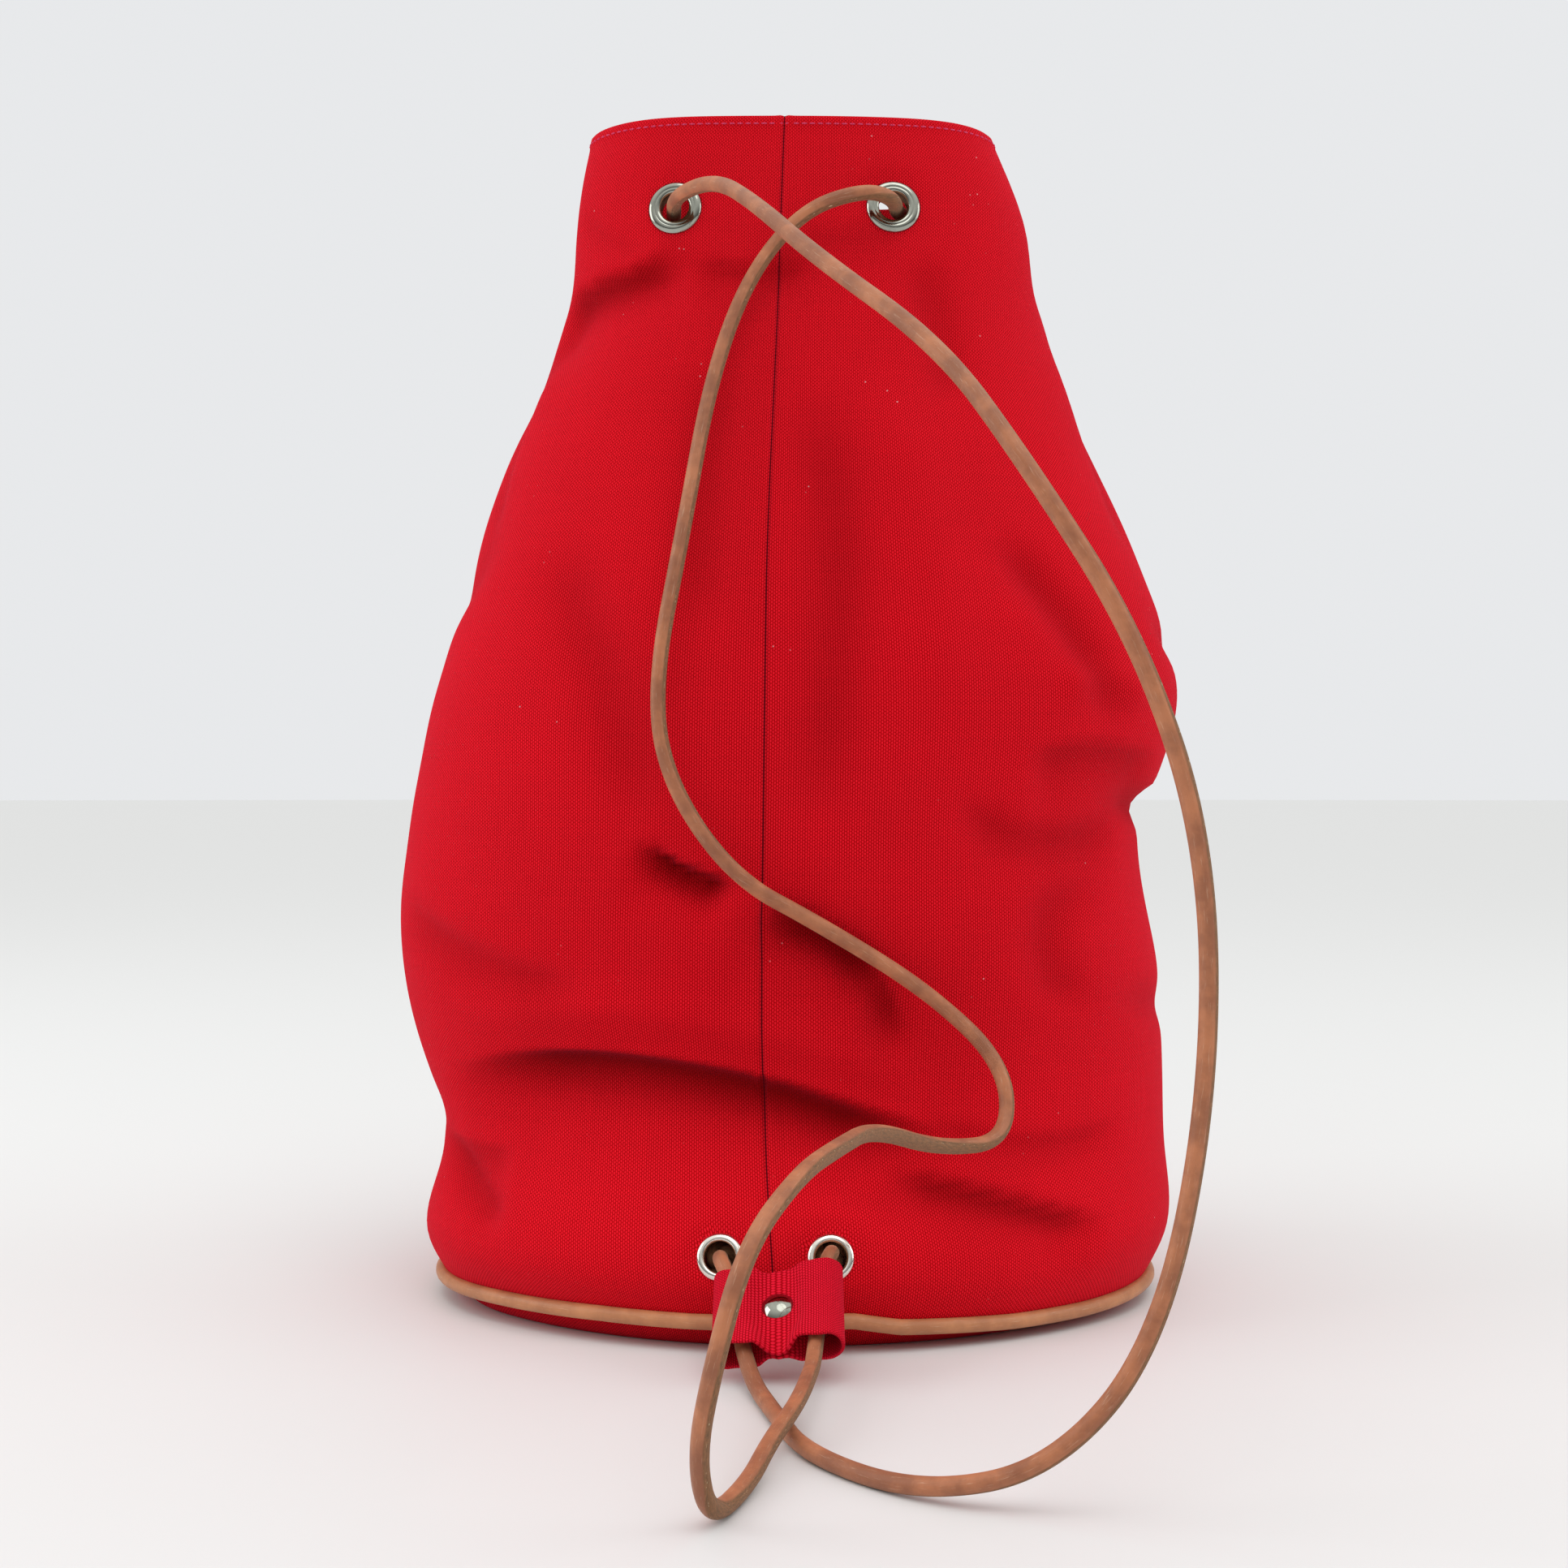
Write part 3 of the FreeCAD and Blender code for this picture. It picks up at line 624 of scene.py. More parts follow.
smooth_side = (-0.75, -0.35, 0.55)
points, uv = tube_grid(cord_line, CORD_DIAMETER / 2, 20, lean=smooth_side, shape=cord_shape)
drawcord = outward(grid_object("leather_drawcord", points, uv, wrap_across=True, caps=True))
finish_piece(smooth(drawcord, 50), "sack", cord_leather)
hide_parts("drawcord")


def knot(name, node_name, inwards):
    """A small overhand knot that fills the barrel of its solid."""
    low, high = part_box(node_name)
    centre = (Vector(low) + Vector(high)) / 2
    turn = round_angles(120)
    span = 0.00150
    loop = np.stack(
        [
            (2.0 + np.cos(3 * turn)) * np.cos(2 * turn) * span,
            (2.0 + np.cos(3 * turn)) * np.sin(2 * turn) * span,
            np.sin(3 * turn) * span * 2.0,
        ],
        axis=1,
    )
    turned = Vector((0, 0, 1)).rotation_difference(Vector(inwards)).to_matrix()
    loop = loop @ np.array(turned).T + np.array(centre)
    points, uv = tube_grid(loop, 0.00235, 14, lean=inwards, closed=True)
    obj = outward(grid_object(name, points, uv, wrap_across=True, wrap_along=True))
    finish_piece(smooth(obj), "sack", cord_leather)
    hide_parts(node_name)
    return obj


knot_left = knot("left_knot", "knot_left", (0.11, 0.93, -0.35))
knot_right = knot("right_knot", "knot_right", (-0.06, 0.93, -0.36))

# ---------------------------------------------------------------- the sack's shape
BAG_HEIGHT = 407.0
BASE_LENGTH = 254.0
BASE_WIDTH = 196.0
BASE_CENTRE_X = 4.0
OVAL_END_SHARE = 0.614
SEAM_HEIGHT = 8.5
SEAM_INSET = 1.2
PIPING_HEIGHT = 7.5
PLEAT_WIDTH = 17.0
OUTLINE_POINTS = 52
# share of height, how far left, right, front and back stand out, squareness, left and right pleats
OUTLINES = (
    (0.035, 5.0, 5.5, 1.0, 1.0, 2.15, 0.0, 0.0),
    (0.105, 0.0, 6.5, -10.0, 3.0, 2.25, 0.0, 0.0),
    (0.190, 7.5, 6.5, -18.0, 4.0, 2.3, 0.0, 0.0),
    (0.285, 15.5, 3.5, -12.0, 4.0, 2.3, 0.0, 0.0),
    (0.395, 11.5, -2.5, -6.0, 2.0, 2.35, 0.0, 0.0),
    (0.500, 4.0, 10.0, -6.0, -2.0, 2.4, 0.0, 0.0),
    (0.615, -10.5, -1.5, -10.0, -7.0, 2.4, 0.0, 0.0),
    (0.740, -27.0, -21.5, -20.0, -15.0, 2.5, 4.0, 3.0),
    (0.840, -43.0, -37.0, -29.5, -25.0, 2.9, 26.0, 20.0),
    (0.915, -46.5, -42.5, -36.0, -33.0, 3.3, 48.0, 40.0),
    (1.000, -52.0, -55.0, -40.5, -37.0, 3.3, 50.0, 38.0),
)
# where the front seam runs: height, X
SEAM_LINE = (
    (8.0, -3.0),
    (29.0, -3.6),
    (54.0, -5.6),
    (93.0, -7.3),
    (172.0, -6.8),
    (251.0, -5.6),
    (330.0, -2.6),
    (397.0, 0.0),
    (410.0, 0.4),
)


FULL_TURN = round_angles(1440) - math.pi / 2  # from the middle of the front


def spaced(points, count):
    """The same closed line with count evenly spaced points."""
    closed = np.vstack([points, points[:1]])
    lengths = run_along(closed)
    return read_line(closed, lengths, np.linspace(0.0, lengths[-1], count, endpoint=False))


def oval(inset, count, z):
    """Points round the base oval, moved in by inset, from the middle of the front towards +X."""
    a, b = BASE_LENGTH / 2, BASE_WIDTH / 2
    end = OVAL_END_SHARE * a
    side = (a * a + b * b - 2 * a * end) / (2 * (b - end))
    lean = math.atan2(side - b, a - end)
    c, s = np.cos(FULL_TURN), np.sin(FULL_TURN)
    at_end = np.arctan2(np.abs(s), np.abs(c)) <= lean
    x = np.where(at_end, np.sign(c) * (a - end) + (end - inset) * c, (side - inset) * c)
    y = np.where(at_end, (end - inset) * s, -np.sign(s) * (side - b) + (side - inset) * s)
    return spaced(np.stack([x + BASE_CENTRE_X, y, np.full(len(x), z)], axis=1), count)


def outline(row):
    share, left, right, front, back, square, fold_left, fold_right = row
    z = SEAM_HEIGHT + share * (BAG_HEIGHT - SEAM_HEIGHT)
    c, s = np.cos(FULL_TURN), np.sin(FULL_TURN)
    x = (BASE_LENGTH / 2 + (left + right) / 2) * np.sign(c) * np.abs(c) ** (2 / square)
    y = (BASE_WIDTH / 2 + (front + back) / 2) * np.sign(s) * np.abs(s) ** (2 / square)
    pull = np.exp(-((y / PLEAT_WIDTH) ** 2))
    x = x - pull * np.where(c > 0, fold_right, -fold_left)
    x = x + BASE_CENTRE_X + (right - left) / 2
    y = y + (back - front) / 2
    return spaced(np.stack([x, y, np.full(len(x), z)], axis=1), OUTLINE_POINTS)


def spline(knots, values, at):
    """Smooth curve through values at knots, read at other places."""
    n = len(knots)
    gap = np.diff(knots)
    system = np.eye(n)
    right = np.zeros_like(values)
    for i in range(1, n - 1):
        system[i, i - 1 : i + 2] = gap[i - 1], 2 * (gap[i - 1] + gap[i]), gap[i]
        rise, rise_before = values[i + 1] - values[i], values[i] - values[i - 1]
        right[i] = 6 * (rise / gap[i] - rise_before / gap[i - 1])
    bend = np.linalg.solve(system, right.reshape(n, -1)).reshape(values.shape)
    k = np.clip(np.searchsorted(knots, at) - 1, 0, n - 2)
    shape = (-1,) + (1,) * (values.ndim - 1)
    before = (at - knots[k]).reshape(shape)
    after = (knots[k + 1] - at).reshape(shape)
    step = gap[k].reshape(shape)
    curved = (bend[k] * after**3 + bend[k + 1] * before**3) / (6 * step)
    return (
        curved
        + (values[k] / step - bend[k] * step / 6) * after
        + (values[k + 1] / step - bend[k + 1] * step / 6) * before
    )


ROWS = [oval(SEAM_INSET, OUTLINE_POINTS, SEAM_HEIGHT)] + [outline(row) for row in OUTLINES]
ROW_HEIGHTS = np.array([row[0, 2] for row in ROWS])
EXTRA = 8


def across_row(row, shares):
    """Points of one outline at shares of its round from the front seam."""
    wrapped = np.vstack([row[-EXTRA:], row, row[: EXTRA + 1]])
    knots = np.arange(-EXTRA, OUTLINE_POINTS + EXTRA + 1, dtype=float)
    near = np.linspace(-4.0, 4.0, 401)
    front = spline(knots, wrapped, near)
    seam_x = np.interp(row[0, 2], [p[0] for p in SEAM_LINE], [p[1] for p in SEAM_LINE])
    start = near[np.argmin(np.abs(front[:, 0] - seam_x))]
    at = (start + shares * OUTLINE_POINTS) % OUTLINE_POINTS
    return spline(knots, wrapped, at)


def sack_points(shares, heights):
    """The sack's outside in millimetres, [height, round]."""
    rows = np.stack([across_row(row, shares) for row in ROWS])
    return spline(ROW_HEIGHTS, rows, heights)


def grid_normals(points):
    """Outward unit normals of a grid that goes round along its second axis."""
    across = np.roll(points, -1, axis=1) - np.roll(points, 1, axis=1)
    up = np.gradient(points, axis=0)
    return unit(np.cross(across, up))


def smoothstep(x, low, high):
    t = np.clip((x - low) / (high - low), 0.0, 1.0)
    return t * t * (3 - 2 * t)


# Creases and dents in the canvas. Each runs through points given as distance along the face and
# height, with its depth and how far it reaches above and below. Faces: front, back, left, right.
CREASES = (
    ("front", ((-110, 104), (-60, 108), (0, 100), (44, 84)), -3.2, 11.0, 9.0),
    ("front", ((44, 70), (80, 60), (114, 64)), 2.4, 4.0, 9.0),
    ("front", ((-70, 377), (-62, 366), (-46, 360)), 1.2, 4.0, 5.0),
    ("front", ((44, 358), (50, 336), (56, 306)), 2.4, 9.0, 9.0),
    ("front", ((-44, 161), (-34, 152), (-18, 147)), 5.0, 3.0, 7.0),
    ("front", ((-4, 140), (14, 132), (30, 121), (40, 96)), 6.0, 4.0, 10.0),
    ("front", ((70, 262), (96, 232), (112, 202)), 3.6, 8.0, 8.0),
    ("front", ((90, 214), (104, 216), (124, 212)), -2.8, 7.0, 7.0),
    ("front", ((10, 310), (18, 260), (16, 214), (10, 170)), 3.2, 13.0, 13.0),
    ("front", ((34, 310), (48, 260), (52, 204)), -2.4, 13.0, 13.0),
    ("front", ((-76, 262), (-56, 210), (-44, 168)), 2.6, 13.0, 13.0),
    ("front", ((-24, 320), (-26, 270), (-28, 230)), 2.0, 12.0, 12.0),
    ("front", ((56, 172), (84, 160), (116, 166)), 3.0, 6.0, 13.0),
    ("front", ((98, 150), (84, 130), (96, 104)), 2.6, 10.0, 10.0),
    ("front", ((-134, 138), (-104, 122), (-66, 112)), 2.8, 6.0, 12.0),
    ("front", ((-128, 62), (-108, 46), (-94, 36)), 3.6, 5.0, 9.0),
    ("front", ((10, 56), (24, 48), (40, 47)), 0.8, 5.0, 5.0),
    ("back", ((-80, 136), (-20, 122), (50, 132)), -2.6, 9.0, 8.0),
    ("back", ((-60, 330), (-40, 280), (-50, 230)), 2.2, 10.0, 10.0),
    ("back", ((40, 345), (30, 290), (48, 240)), 2.2, 10.0, 10.0),
    ("back", ((-90, 60), (-40, 52), (20, 60)), 2.0, 9.0, 9.0),
    ("left", ((-20, 66), (30, 62), (70, 70)), 2.0, 8.0, 8.0),
    ("left", ((-50, 262), (-10, 240), (40, 250)), 2.0, 12.0, 10.0),
    ("left", ((-34, 340), (-24, 300), (-36, 262)), 2.0, 8.0, 8.0),
    ("left", ((34, 340), (26, 296), (40, 256)), 2.0, 8.0, 8.0),
    ("right", ((-60, 176), (-16, 170), (34, 178), (64, 190)), 4.0, 8.0, 6.0),
    ("right", ((-52, 108), (0, 100), (46, 106)), 2.0, 9.0, 8.0),
    ("right", ((-30, 342), (-22, 300), (-34, 262)), 2.0, 8.0, 8.0),
    ("right", ((32, 342), (24, 298), (38, 258)), 2.0, 8.0, 8.0),
    ("right", ((-46, 236), (-4, 226), (40, 232)), 2.4, 8.0, 8.0),
)

# Ledges: cloth that hangs over a fold. Face, the fold's upper edge, how deep it sinks and how far
# below.
LEDGES = (
    ("front", ((-108, 87), (-88, 93), (-54, 94), (-7, 87), (24, 77), (52, 68)), 9.5, 9.0),
    ("front", ((36, 58), (70, 49), (106, 38)), 5.0, 7.0),
    ("front", ((-34, 366), (-48, 355), (-70, 352), (-92, 336)), 5.5, 7.0),
    ("front", ((10, 357), (-10, 354), (-30, 358)), 2.5, 6.0),
    ("front", ((80, 193), (104, 197), (130, 192)), 3.0, 10.0),
    ("front", ((-48, 163), (-34, 156), (-14, 150)), 5.0, 5.0),
    ("front", ((-6, 146), (14, 138), (34, 124)), 5.5, 8.0),
    ("front", ((-130, 62), (-110, 58), (-92, 60)), 2.5, 8.0),
    ("back", ((-92, 128), (-20, 114), (40, 122), (102, 138)), 8.0, 9.0),
    ("left", ((-6, 84), (30, 86), (74, 98)), 3.0, 8.0),
    ("right", ((-50, 184), (-16, 180), (34, 188), (64, 196)), 1.8, 8.0),
)


def distance_to_line(x, z, line):
    """Signed distance from points to an open line with its corners cut round: + above, - below."""
    line = np.array(line, dtype=float)
    for _ in range(3):
        start, stop = line[:-1], line[1:]
        inner = np.stack([0.75 * start + 0.25 * stop, 0.25 * start + 0.75 * stop], axis=1)
        line = np.vstack([line[:1], inner.reshape(-1, 2), line[-1:]])
    best = np.full(x.shape, 1e9)
    sign = np.ones(x.shape)
    for (x0, z0), (x1, z1) in zip(line, line[1:]):
        dx, dz = x1 - x0, z1 - z0
        t = np.clip(((x - x0) * dx + (z - z0) * dz) / (dx * dx + dz * dz), 0.0, 1.0)
        gap_x, gap_z = x - (x0 + t * dx), z - (z0 + t * dz)
        gap = np.hypot(gap_x, gap_z)
        nearer = gap < best
        best = np.where(nearer, gap, best)
        upward = (dx * gap_z - dz * gap_x) * (1 if dx >= 0 else -1)
        sign = np.where(nearer, np.where(upward >= 0, 1.0, -1.0), sign)
    return best * sign


def crease_ends(x, z, line):
    """Dies away over a crease's first and last fifth, so that it has no blunt ends."""
    start, stop = np.array(line[0]), np.array(line[-1])
    way = stop - start
    share = ((x - start[0]) * way[0] + (z - start[1]) * way[1]) / np.dot(way, way)
    return smoothstep(share, -0.06, 0.22) * (1.0 - smoothstep(share, 0.78, 1.06))


def crease_share(x, z, line, above, below):
    """1 along a crease, less with distance from it."""
    gap = distance_to_line(x, z, line)
    reach = np.where(gap > 0, above, below)
    return np.exp(-((gap / reach) ** 2) * 1.4) * crease_ends(x, z, line)


def ledge_share(x, z, line, reach, early=0.0):
    """0 above a ledge, 1 at its reach below, then less. It may start a little early."""
    below = np.maximum(early - distance_to_line(x, z, line), 0.0) / reach
    return below * np.exp(1.0 - below) * crease_ends(x, z, line)


def face_ways(points, normals):
    """For each face, the distance along it, and how squarely the canvas looks its way."""
    x, y, nx, ny = points[..., 0], points[..., 1], normals[..., 0], normals[..., 1]
    return {"front": (x, -ny), "back": (x, ny), "left": (y, -nx), "right": (y, nx)}


def relief(points, normals):
    """How far the canvas stands out (+) or in (-) of its plain shape, in millimetres."""
    x, y, z = points[..., 0], points[..., 1], points[..., 2]
    faces = {}
    for face, (along, facing) in face_ways(points, normals).items():
        low = 0.15 if face in ("front", "back") else 0.35
        faces[face] = along, smoothstep(facing, low, low + 0.4)
    result = np.zeros(x.shape)
    for face, line, depth, above, below in CREASES:
        along, share = faces[face]
        result -= depth * share * crease_share(along, z, line, above, below)
    for face, line, depth, reach in LEDGES:
        along, share = faces[face]
        result -= depth * share * ledge_share(along, z, line, reach)
    wave = np.sin(x / 23.0 + np.sin(z / 31.0) * 1.3) * np.sin(z / 37.0 + 0.6 * np.sin(y / 29.0))
    ripple = np.sin(x / 9.0 + z / 14.0) * np.sin(z / 11.0 - y / 13.0 + 1.0)
    result += 0.5 * wave + 0.16 * ripple
    return result


def painted_fold_shade(points):
    """How much painted shade the canvas gets: 0 on open canvas to 1 deep in a fold."""
    faces = face_ways(points, grid_normals(points))
    z = points[..., 2]
    shade = np.zeros(z.shape)
    for face, line, depth, reach in LEDGES:
        along, facing = faces[face]
        share = smoothstep(facing, 0.15, 0.55) * ledge_share(along, z, line, 0.42 * reach, 0.4)
        shade += depth / 9.0 * share
    for face, line, depth, above, below in CREASES:
        along, facing = faces[face]
        share = smoothstep(facing, 0.15, 0.55) * crease_share(along, z, line, above, below)
        shade += max(depth, 0.0) / 11.0 * share
    return np.clip(shade, 0.0, 1.0) * calm(points)


def base_wave(points):
    """How far the base seam rises or falls round the base, in millimetres."""
    x, y = points[..., 0], points[..., 1]
    front = smoothstep(-y, 0.0, 60.0)
    places = (-125.0, -60.0, -29.0, 22.0, 37.0, 75.0, 100.0, 131.0)
    rises = (1.0, 2.2, 2.1, 2.9, 0.3, -1.4, -1.6, -0.8)
    ripple = 0.5 * np.sin(x / 12.0) * (1 - front)
    return np.interp(x, places, rises) * front + ripple


BODY_WALL = 2.0
LAYER_INSET = BODY_WALL + 0.15  # of a layer sewn inside the wall
barrel_names = [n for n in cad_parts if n.endswith("_barrel")]
mouth_names = [n for n in barrel_names if n.startswith("eyelet_")]
strap_names = [n for n in barrel_names if n.startswith("strap_eyelet_")]


def eyelet_seat(name):
    """Where an eyelet's flange bears on the canvas, the way it faces and its radius, in mm."""
    where = np.array([v.co[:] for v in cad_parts[name].data.vertices]) / MM
    middle = where.mean(axis=0)
    _, _, ways = np.linalg.svd(where - middle, full_matrices=False)
    along = (where - middle) @ ways.T
    middle = middle + ((along.max(axis=0) + along.min(axis=0)) / 2) @ ways
    axis = ways[2]
    height = (where - middle) @ axis
    radial = np.linalg.norm(where - middle - height[:, None] * axis, axis=1)
    flange = radial > radial.max() - 0.6
    if height[flange].mean() < 0:
        axis, height = -axis, -height
    return middle + axis * height[flange].min(), axis, radial.max()


EYELETS = [eyelet_seat(n) for n in mouth_names + strap_names]


def press_eyelets(points, inset):
    """Draws the canvas flat under every eyelet's flange."""
    for seat, axis, radius in EYELETS:
        offset = points - seat
        height = offset @ axis
        radial = np.linalg.norm(offset - height[..., None] * axis, axis=-1)
        share = (1.0 - smoothstep(radial, radius + 0.4, radius + 6.0)) * (np.abs(height) < 9.0)
        points = points + axis * ((-0.04 - inset - height) * share)[..., None]
    return points


def calm(points):
    """1 on free canvas, 0 beside an eyelet, where the canvas lies flat under the flange."""
    share = np.ones(points.shape[:-1])
    for seat, _, radius in EYELETS:
        gap = np.linalg.norm(points - seat, axis=-1)
        share = np.minimum(share, smoothstep(gap, radius + 2.0, radius + 16.0))
    return share


def sack_surface(shares, heights, inset=0.0):
    """The canvas's surface in millimetres, moved in by inset, with its creases."""
    points = sack_points(shares, heights)
    normals = grid_normals(points)
    out = relief(points, normals) * calm(points)
    out *= smoothstep(points[..., 2], 12.0, 26.0)
    points = points + normals * out[..., None]
    low = 1.0 - smoothstep(points[..., 2], SEAM_HEIGHT, 24.0)
    points[..., 2] += base_wave(points) * low
    if inset:
        points = points - grid_normals(points) * inset
    return press_eyelets(points, inset)


def cloth_uv(shares, heights):
    """Cloth coordinates in metres, with one more column to close the round."""
    across = np.append(shares, 1.0) * PERIMETER
    return np.stack(np.meshgrid(across, np.asarray(heights) * MM), axis=-1)


NEAR_SEAM = np.array([0.0, 0.0006, 0.0014, 0.0028])
away = np.linspace(NEAR_SEAM[-1], 1 - NEAR_SEAM[-1], 292)
shares = np.concatenate([NEAR_SEAM[:-1], away, 1 - NEAR_SEAM[1:-1][::-1]])
heights = np.concatenate(
    [
        np.linspace(SEAM_HEIGHT + 0.3, 60.0, 18, endpoint=False),
        np.linspace(60.0, 140.0, 54, endpoint=False),
        np.linspace(140.0, BAG_HEIGHT - 5.0, 96),
        BAG_HEIGHT - np.array([4.0, 3.0, 2.2, 1.2, 0.4]),
    ]
)
body = sack_surface(shares, heights)
normals = grid_normals(body)
# the sewn seam sinks, and the turned hem stands a little proud of the canvas
seam_gap = np.minimum(shares, 1 - shares) * PERIMETER / MM
seam_sink = 0.55 * np.exp(-((seam_gap / 0.7) ** 2))
seam_sink -= 0.35 * np.exp(-(((seam_gap - 2.2) / 1.4) ** 2))
body -= normals * seam_sink[None, :, None]
hem = smoothstep(heights, BAG_HEIGHT - 4.6, BAG_HEIGHT - 3.4) * 0.25
body += normals * hem[:, None, None]
body[-1] -= normals[-1] * 0.5
sack = grid_object("canvas_sack", body * MM, cloth_uv(shares, heights), wrap_across=True)
# The fold attribute carries the painted shade for the folds, read by the canvas material.
fold = sack.data.attributes.new("fold", "FLOAT", "POINT")
fold.data.foreach_set("value", painted_fold_shade(sack_points(shares, heights)).ravel())


HOLE_RADIUS = 0.0061  # in the canvas, round an eyelet's barrel
HOLE_NEAR = 0.016  # how far from an eyelet's seat its hole is looked for


def cut_eyelet_holes(obj):
    """Opens the canvas under every eyelet and draws the hole's edge into a circle."""
    work = bmesh.new()
    work.from_mesh(obj.data)
    for seat, axis, _ in EYELETS:
        centre, axis = Vector(seat * MM), Vector(axis)
        doomed = []
        for face in work.faces:
            way = face.calc_center_median() - centre
            flat = way - axis * way.dot(axis)
            if way.length < HOLE_NEAR and flat.length < HOLE_RADIUS and abs(way.dot(axis)) < 0.006:
                doomed.append(face)
        bmesh.ops.delete(work, geom=doomed, context="FACES")
        for edge in work.edges:
            if edge.is_boundary:
                for corner in edge.verts:
                    way = corner.co - centre
                    flat = way - axis * way.dot(axis)
                    if way.length < HOLE_NEAR and flat.length < HOLE_RADIUS * 1.7:
                        corner.co = centre + way - flat + flat.normalized() * HOLE_RADIUS
    work.to_mesh(obj.data)
    work.free()


cut_eyelet_holes(sack)
modify(sack, "SOLIDIFY", thickness=BODY_WALL * MM, offset=-1.0, use_even_offset=True)
finish_piece(smooth(sack, 60), "sack", canvas_red)
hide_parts("sack_body")

# ---------------------------------------------------------------- layers inside the sack
facing_heights = np.concatenate([np.linspace(356.0, BAG_HEIGHT - 2.0, 20), [BAG_HEIGHT - 0.6]])
facing = grid_object(
    "mouth_facing_band",
    sack_surface(shares, facing_heights, inset=LAYER_INSET) * MM,
    cloth_uv(shares, facing_heights),
    wrap_across=True,
)
cut_eyelet_holes(facing)
modify(facing, "SOLIDIFY", thickness=0.0011, offset=-1.0)
finish_piece(smooth(facing, 60), "sack", canvas_plain)
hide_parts("mouth_facing")

tape_half = 6.0 * MM / PERIMETER
tape_shares = np.concatenate([np.linspace(1 - tape_half, 1, 6)[:-1], np.linspace(0, tape_half, 6)])
tape_heights = np.linspace(18.0, 353.0, 90)
tape_points = sack_surface(shares, tape_heights, inset=LAYER_INSET)
column_at = np.append(shares, 1.0)
closed_points = np.concatenate([tape_points, tape_points[:, :1]], axis=1)
tape_grid = np.stack([read_line(row, column_at, tape_shares) for row in closed_points])
tape_uv = np.stack(np.meshgrid(np.linspace(0, 0.012, 12), tape_heights * MM), axis=-1)
seam_tape = grid_object("front_seam_tape", tape_grid * MM, tape_uv)
modify(seam_tape, "SOLIDIFY", thickness=0.0009, offset=-1.0)
finish_piece(smooth(seam_tape, 50), "sack", canvas_fine)
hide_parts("seam_tape")


BASE_ROUND = 220  # points in each ring of the base


def oval_band(name, steps):
    """A surface of rings on the base oval, each given as (inset, height)."""
    rings = []
    for inset, z in steps:
        ring = oval(inset, BASE_ROUND, z)
        rise = base_wave(ring) * smoothstep(np.array(z), 0.5, 5.0)
        ring[:, 2] = np.maximum(ring[:, 2] + rise, 0.0)
        rings.append(ring)
    points = np.stack(rings) * MM
    across = np.linspace(0, PERIMETER, BASE_ROUND + 1)
    uv = np.stack(np.meshgrid(across, run_along(points[:, 0])), axis=-1)
    return grid_object(name, points, uv, wrap_across=True)


base_flat = [(inset, 0.0) for inset in (86.0, 70.0, 50.0, 32.0, 20.0, 13.0)]
base_turn = [(10.4, 0.05), (9.2, 0.45), (7.8, 1.5), (6.4, 2.9), (5.0, 4.6), (3.9, 6.2)]
base_edge = [(3.35, 7.6), (3.3, 10.5), (3.3, 13.6)]
base = oval_band("base_cloth", base_flat + base_turn + base_edge)
select_only(base)
bpy.ops.object.mode_set(mode="EDIT")
bpy.ops.mesh.select_all(action="DESELECT")
bpy.ops.object.mode_set(mode="OBJECT")
for vertex in base.data.vertices[:BASE_ROUND]:
    vertex.select = True
bpy.ops.object.mode_set(mode="EDIT")
bpy.ops.mesh.edge_face_add()
bpy.ops.mesh.select_all(action="SELECT")
bpy.ops.mesh.normals_make_consistent(inside=False)
bpy.ops.object.mode_set(mode="OBJECT")
base.select_set(False)
modify(base, "SOLIDIFY", thickness=0.0015, offset=-1.0)
finish_piece(smooth(base, 50), "sack", canvas_plain)
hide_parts("base_panel", "base_edge")

base_tape = oval_band("base_seam_tape_band", [(4.95, z) for z in (8.8, 11.0, 13.0, 14.8)])
modify(base_tape, "SOLIDIFY", thickness=0.0009, offset=1.0)
finish_piece(smooth(base_tape, 50), "sack", canvas_fine)
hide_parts("base_seam_tape")

# ---------------------------------------------------------------- piping
piping_line = oval(0.0, 420, PIPING_HEIGHT)
piping_line[:, 2] += base_wave(piping_line)
points, uv = tube_grid(piping_line * MM, 0.0025, 18, closed=True)
piping = outward(grid_object("leather_piping", points, uv, wrap_across=True, wrap_along=True))
finish_piece(smooth(piping), "sack", piping_leather)
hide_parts("piping_cover")

points, uv = tube_grid(piping_line * MM, 0.0016, 12, closed=True)
core = outward(grid_object("piping_core_cord", points, uv, wrap_across=True, wrap_along=True))
finish_piece(smooth(core), "sack", core_cotton)
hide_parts("piping_core")

# ---------------------------------------------------------------- keeper
KEEPER_TOP = Vector((-0.0018, -0.1052, 0.0272))
KEEPER_LENGTH = 32.0
KEEPER_HALF = 20.4  # of its width
KEEPER_ROUND = 132
KEEPER_ROWS = 30
KEEPER_PINCH = 1.33  # half the thickness at the stitched middle
KEEPER_SPREAD = 5.6  # from the stitched middle out to a full channel
slope = math.radians(33.0)
roll = math.radians(9.0)
keeper_down = Vector((0.0, -math.cos(slope), -math.sin(slope)))
keeper_across = Matrix.Rotation(roll, 3, keeper_down) @ Vector((1, 0, 0))
keeper_face = keeper_across.cross(keeper_down)


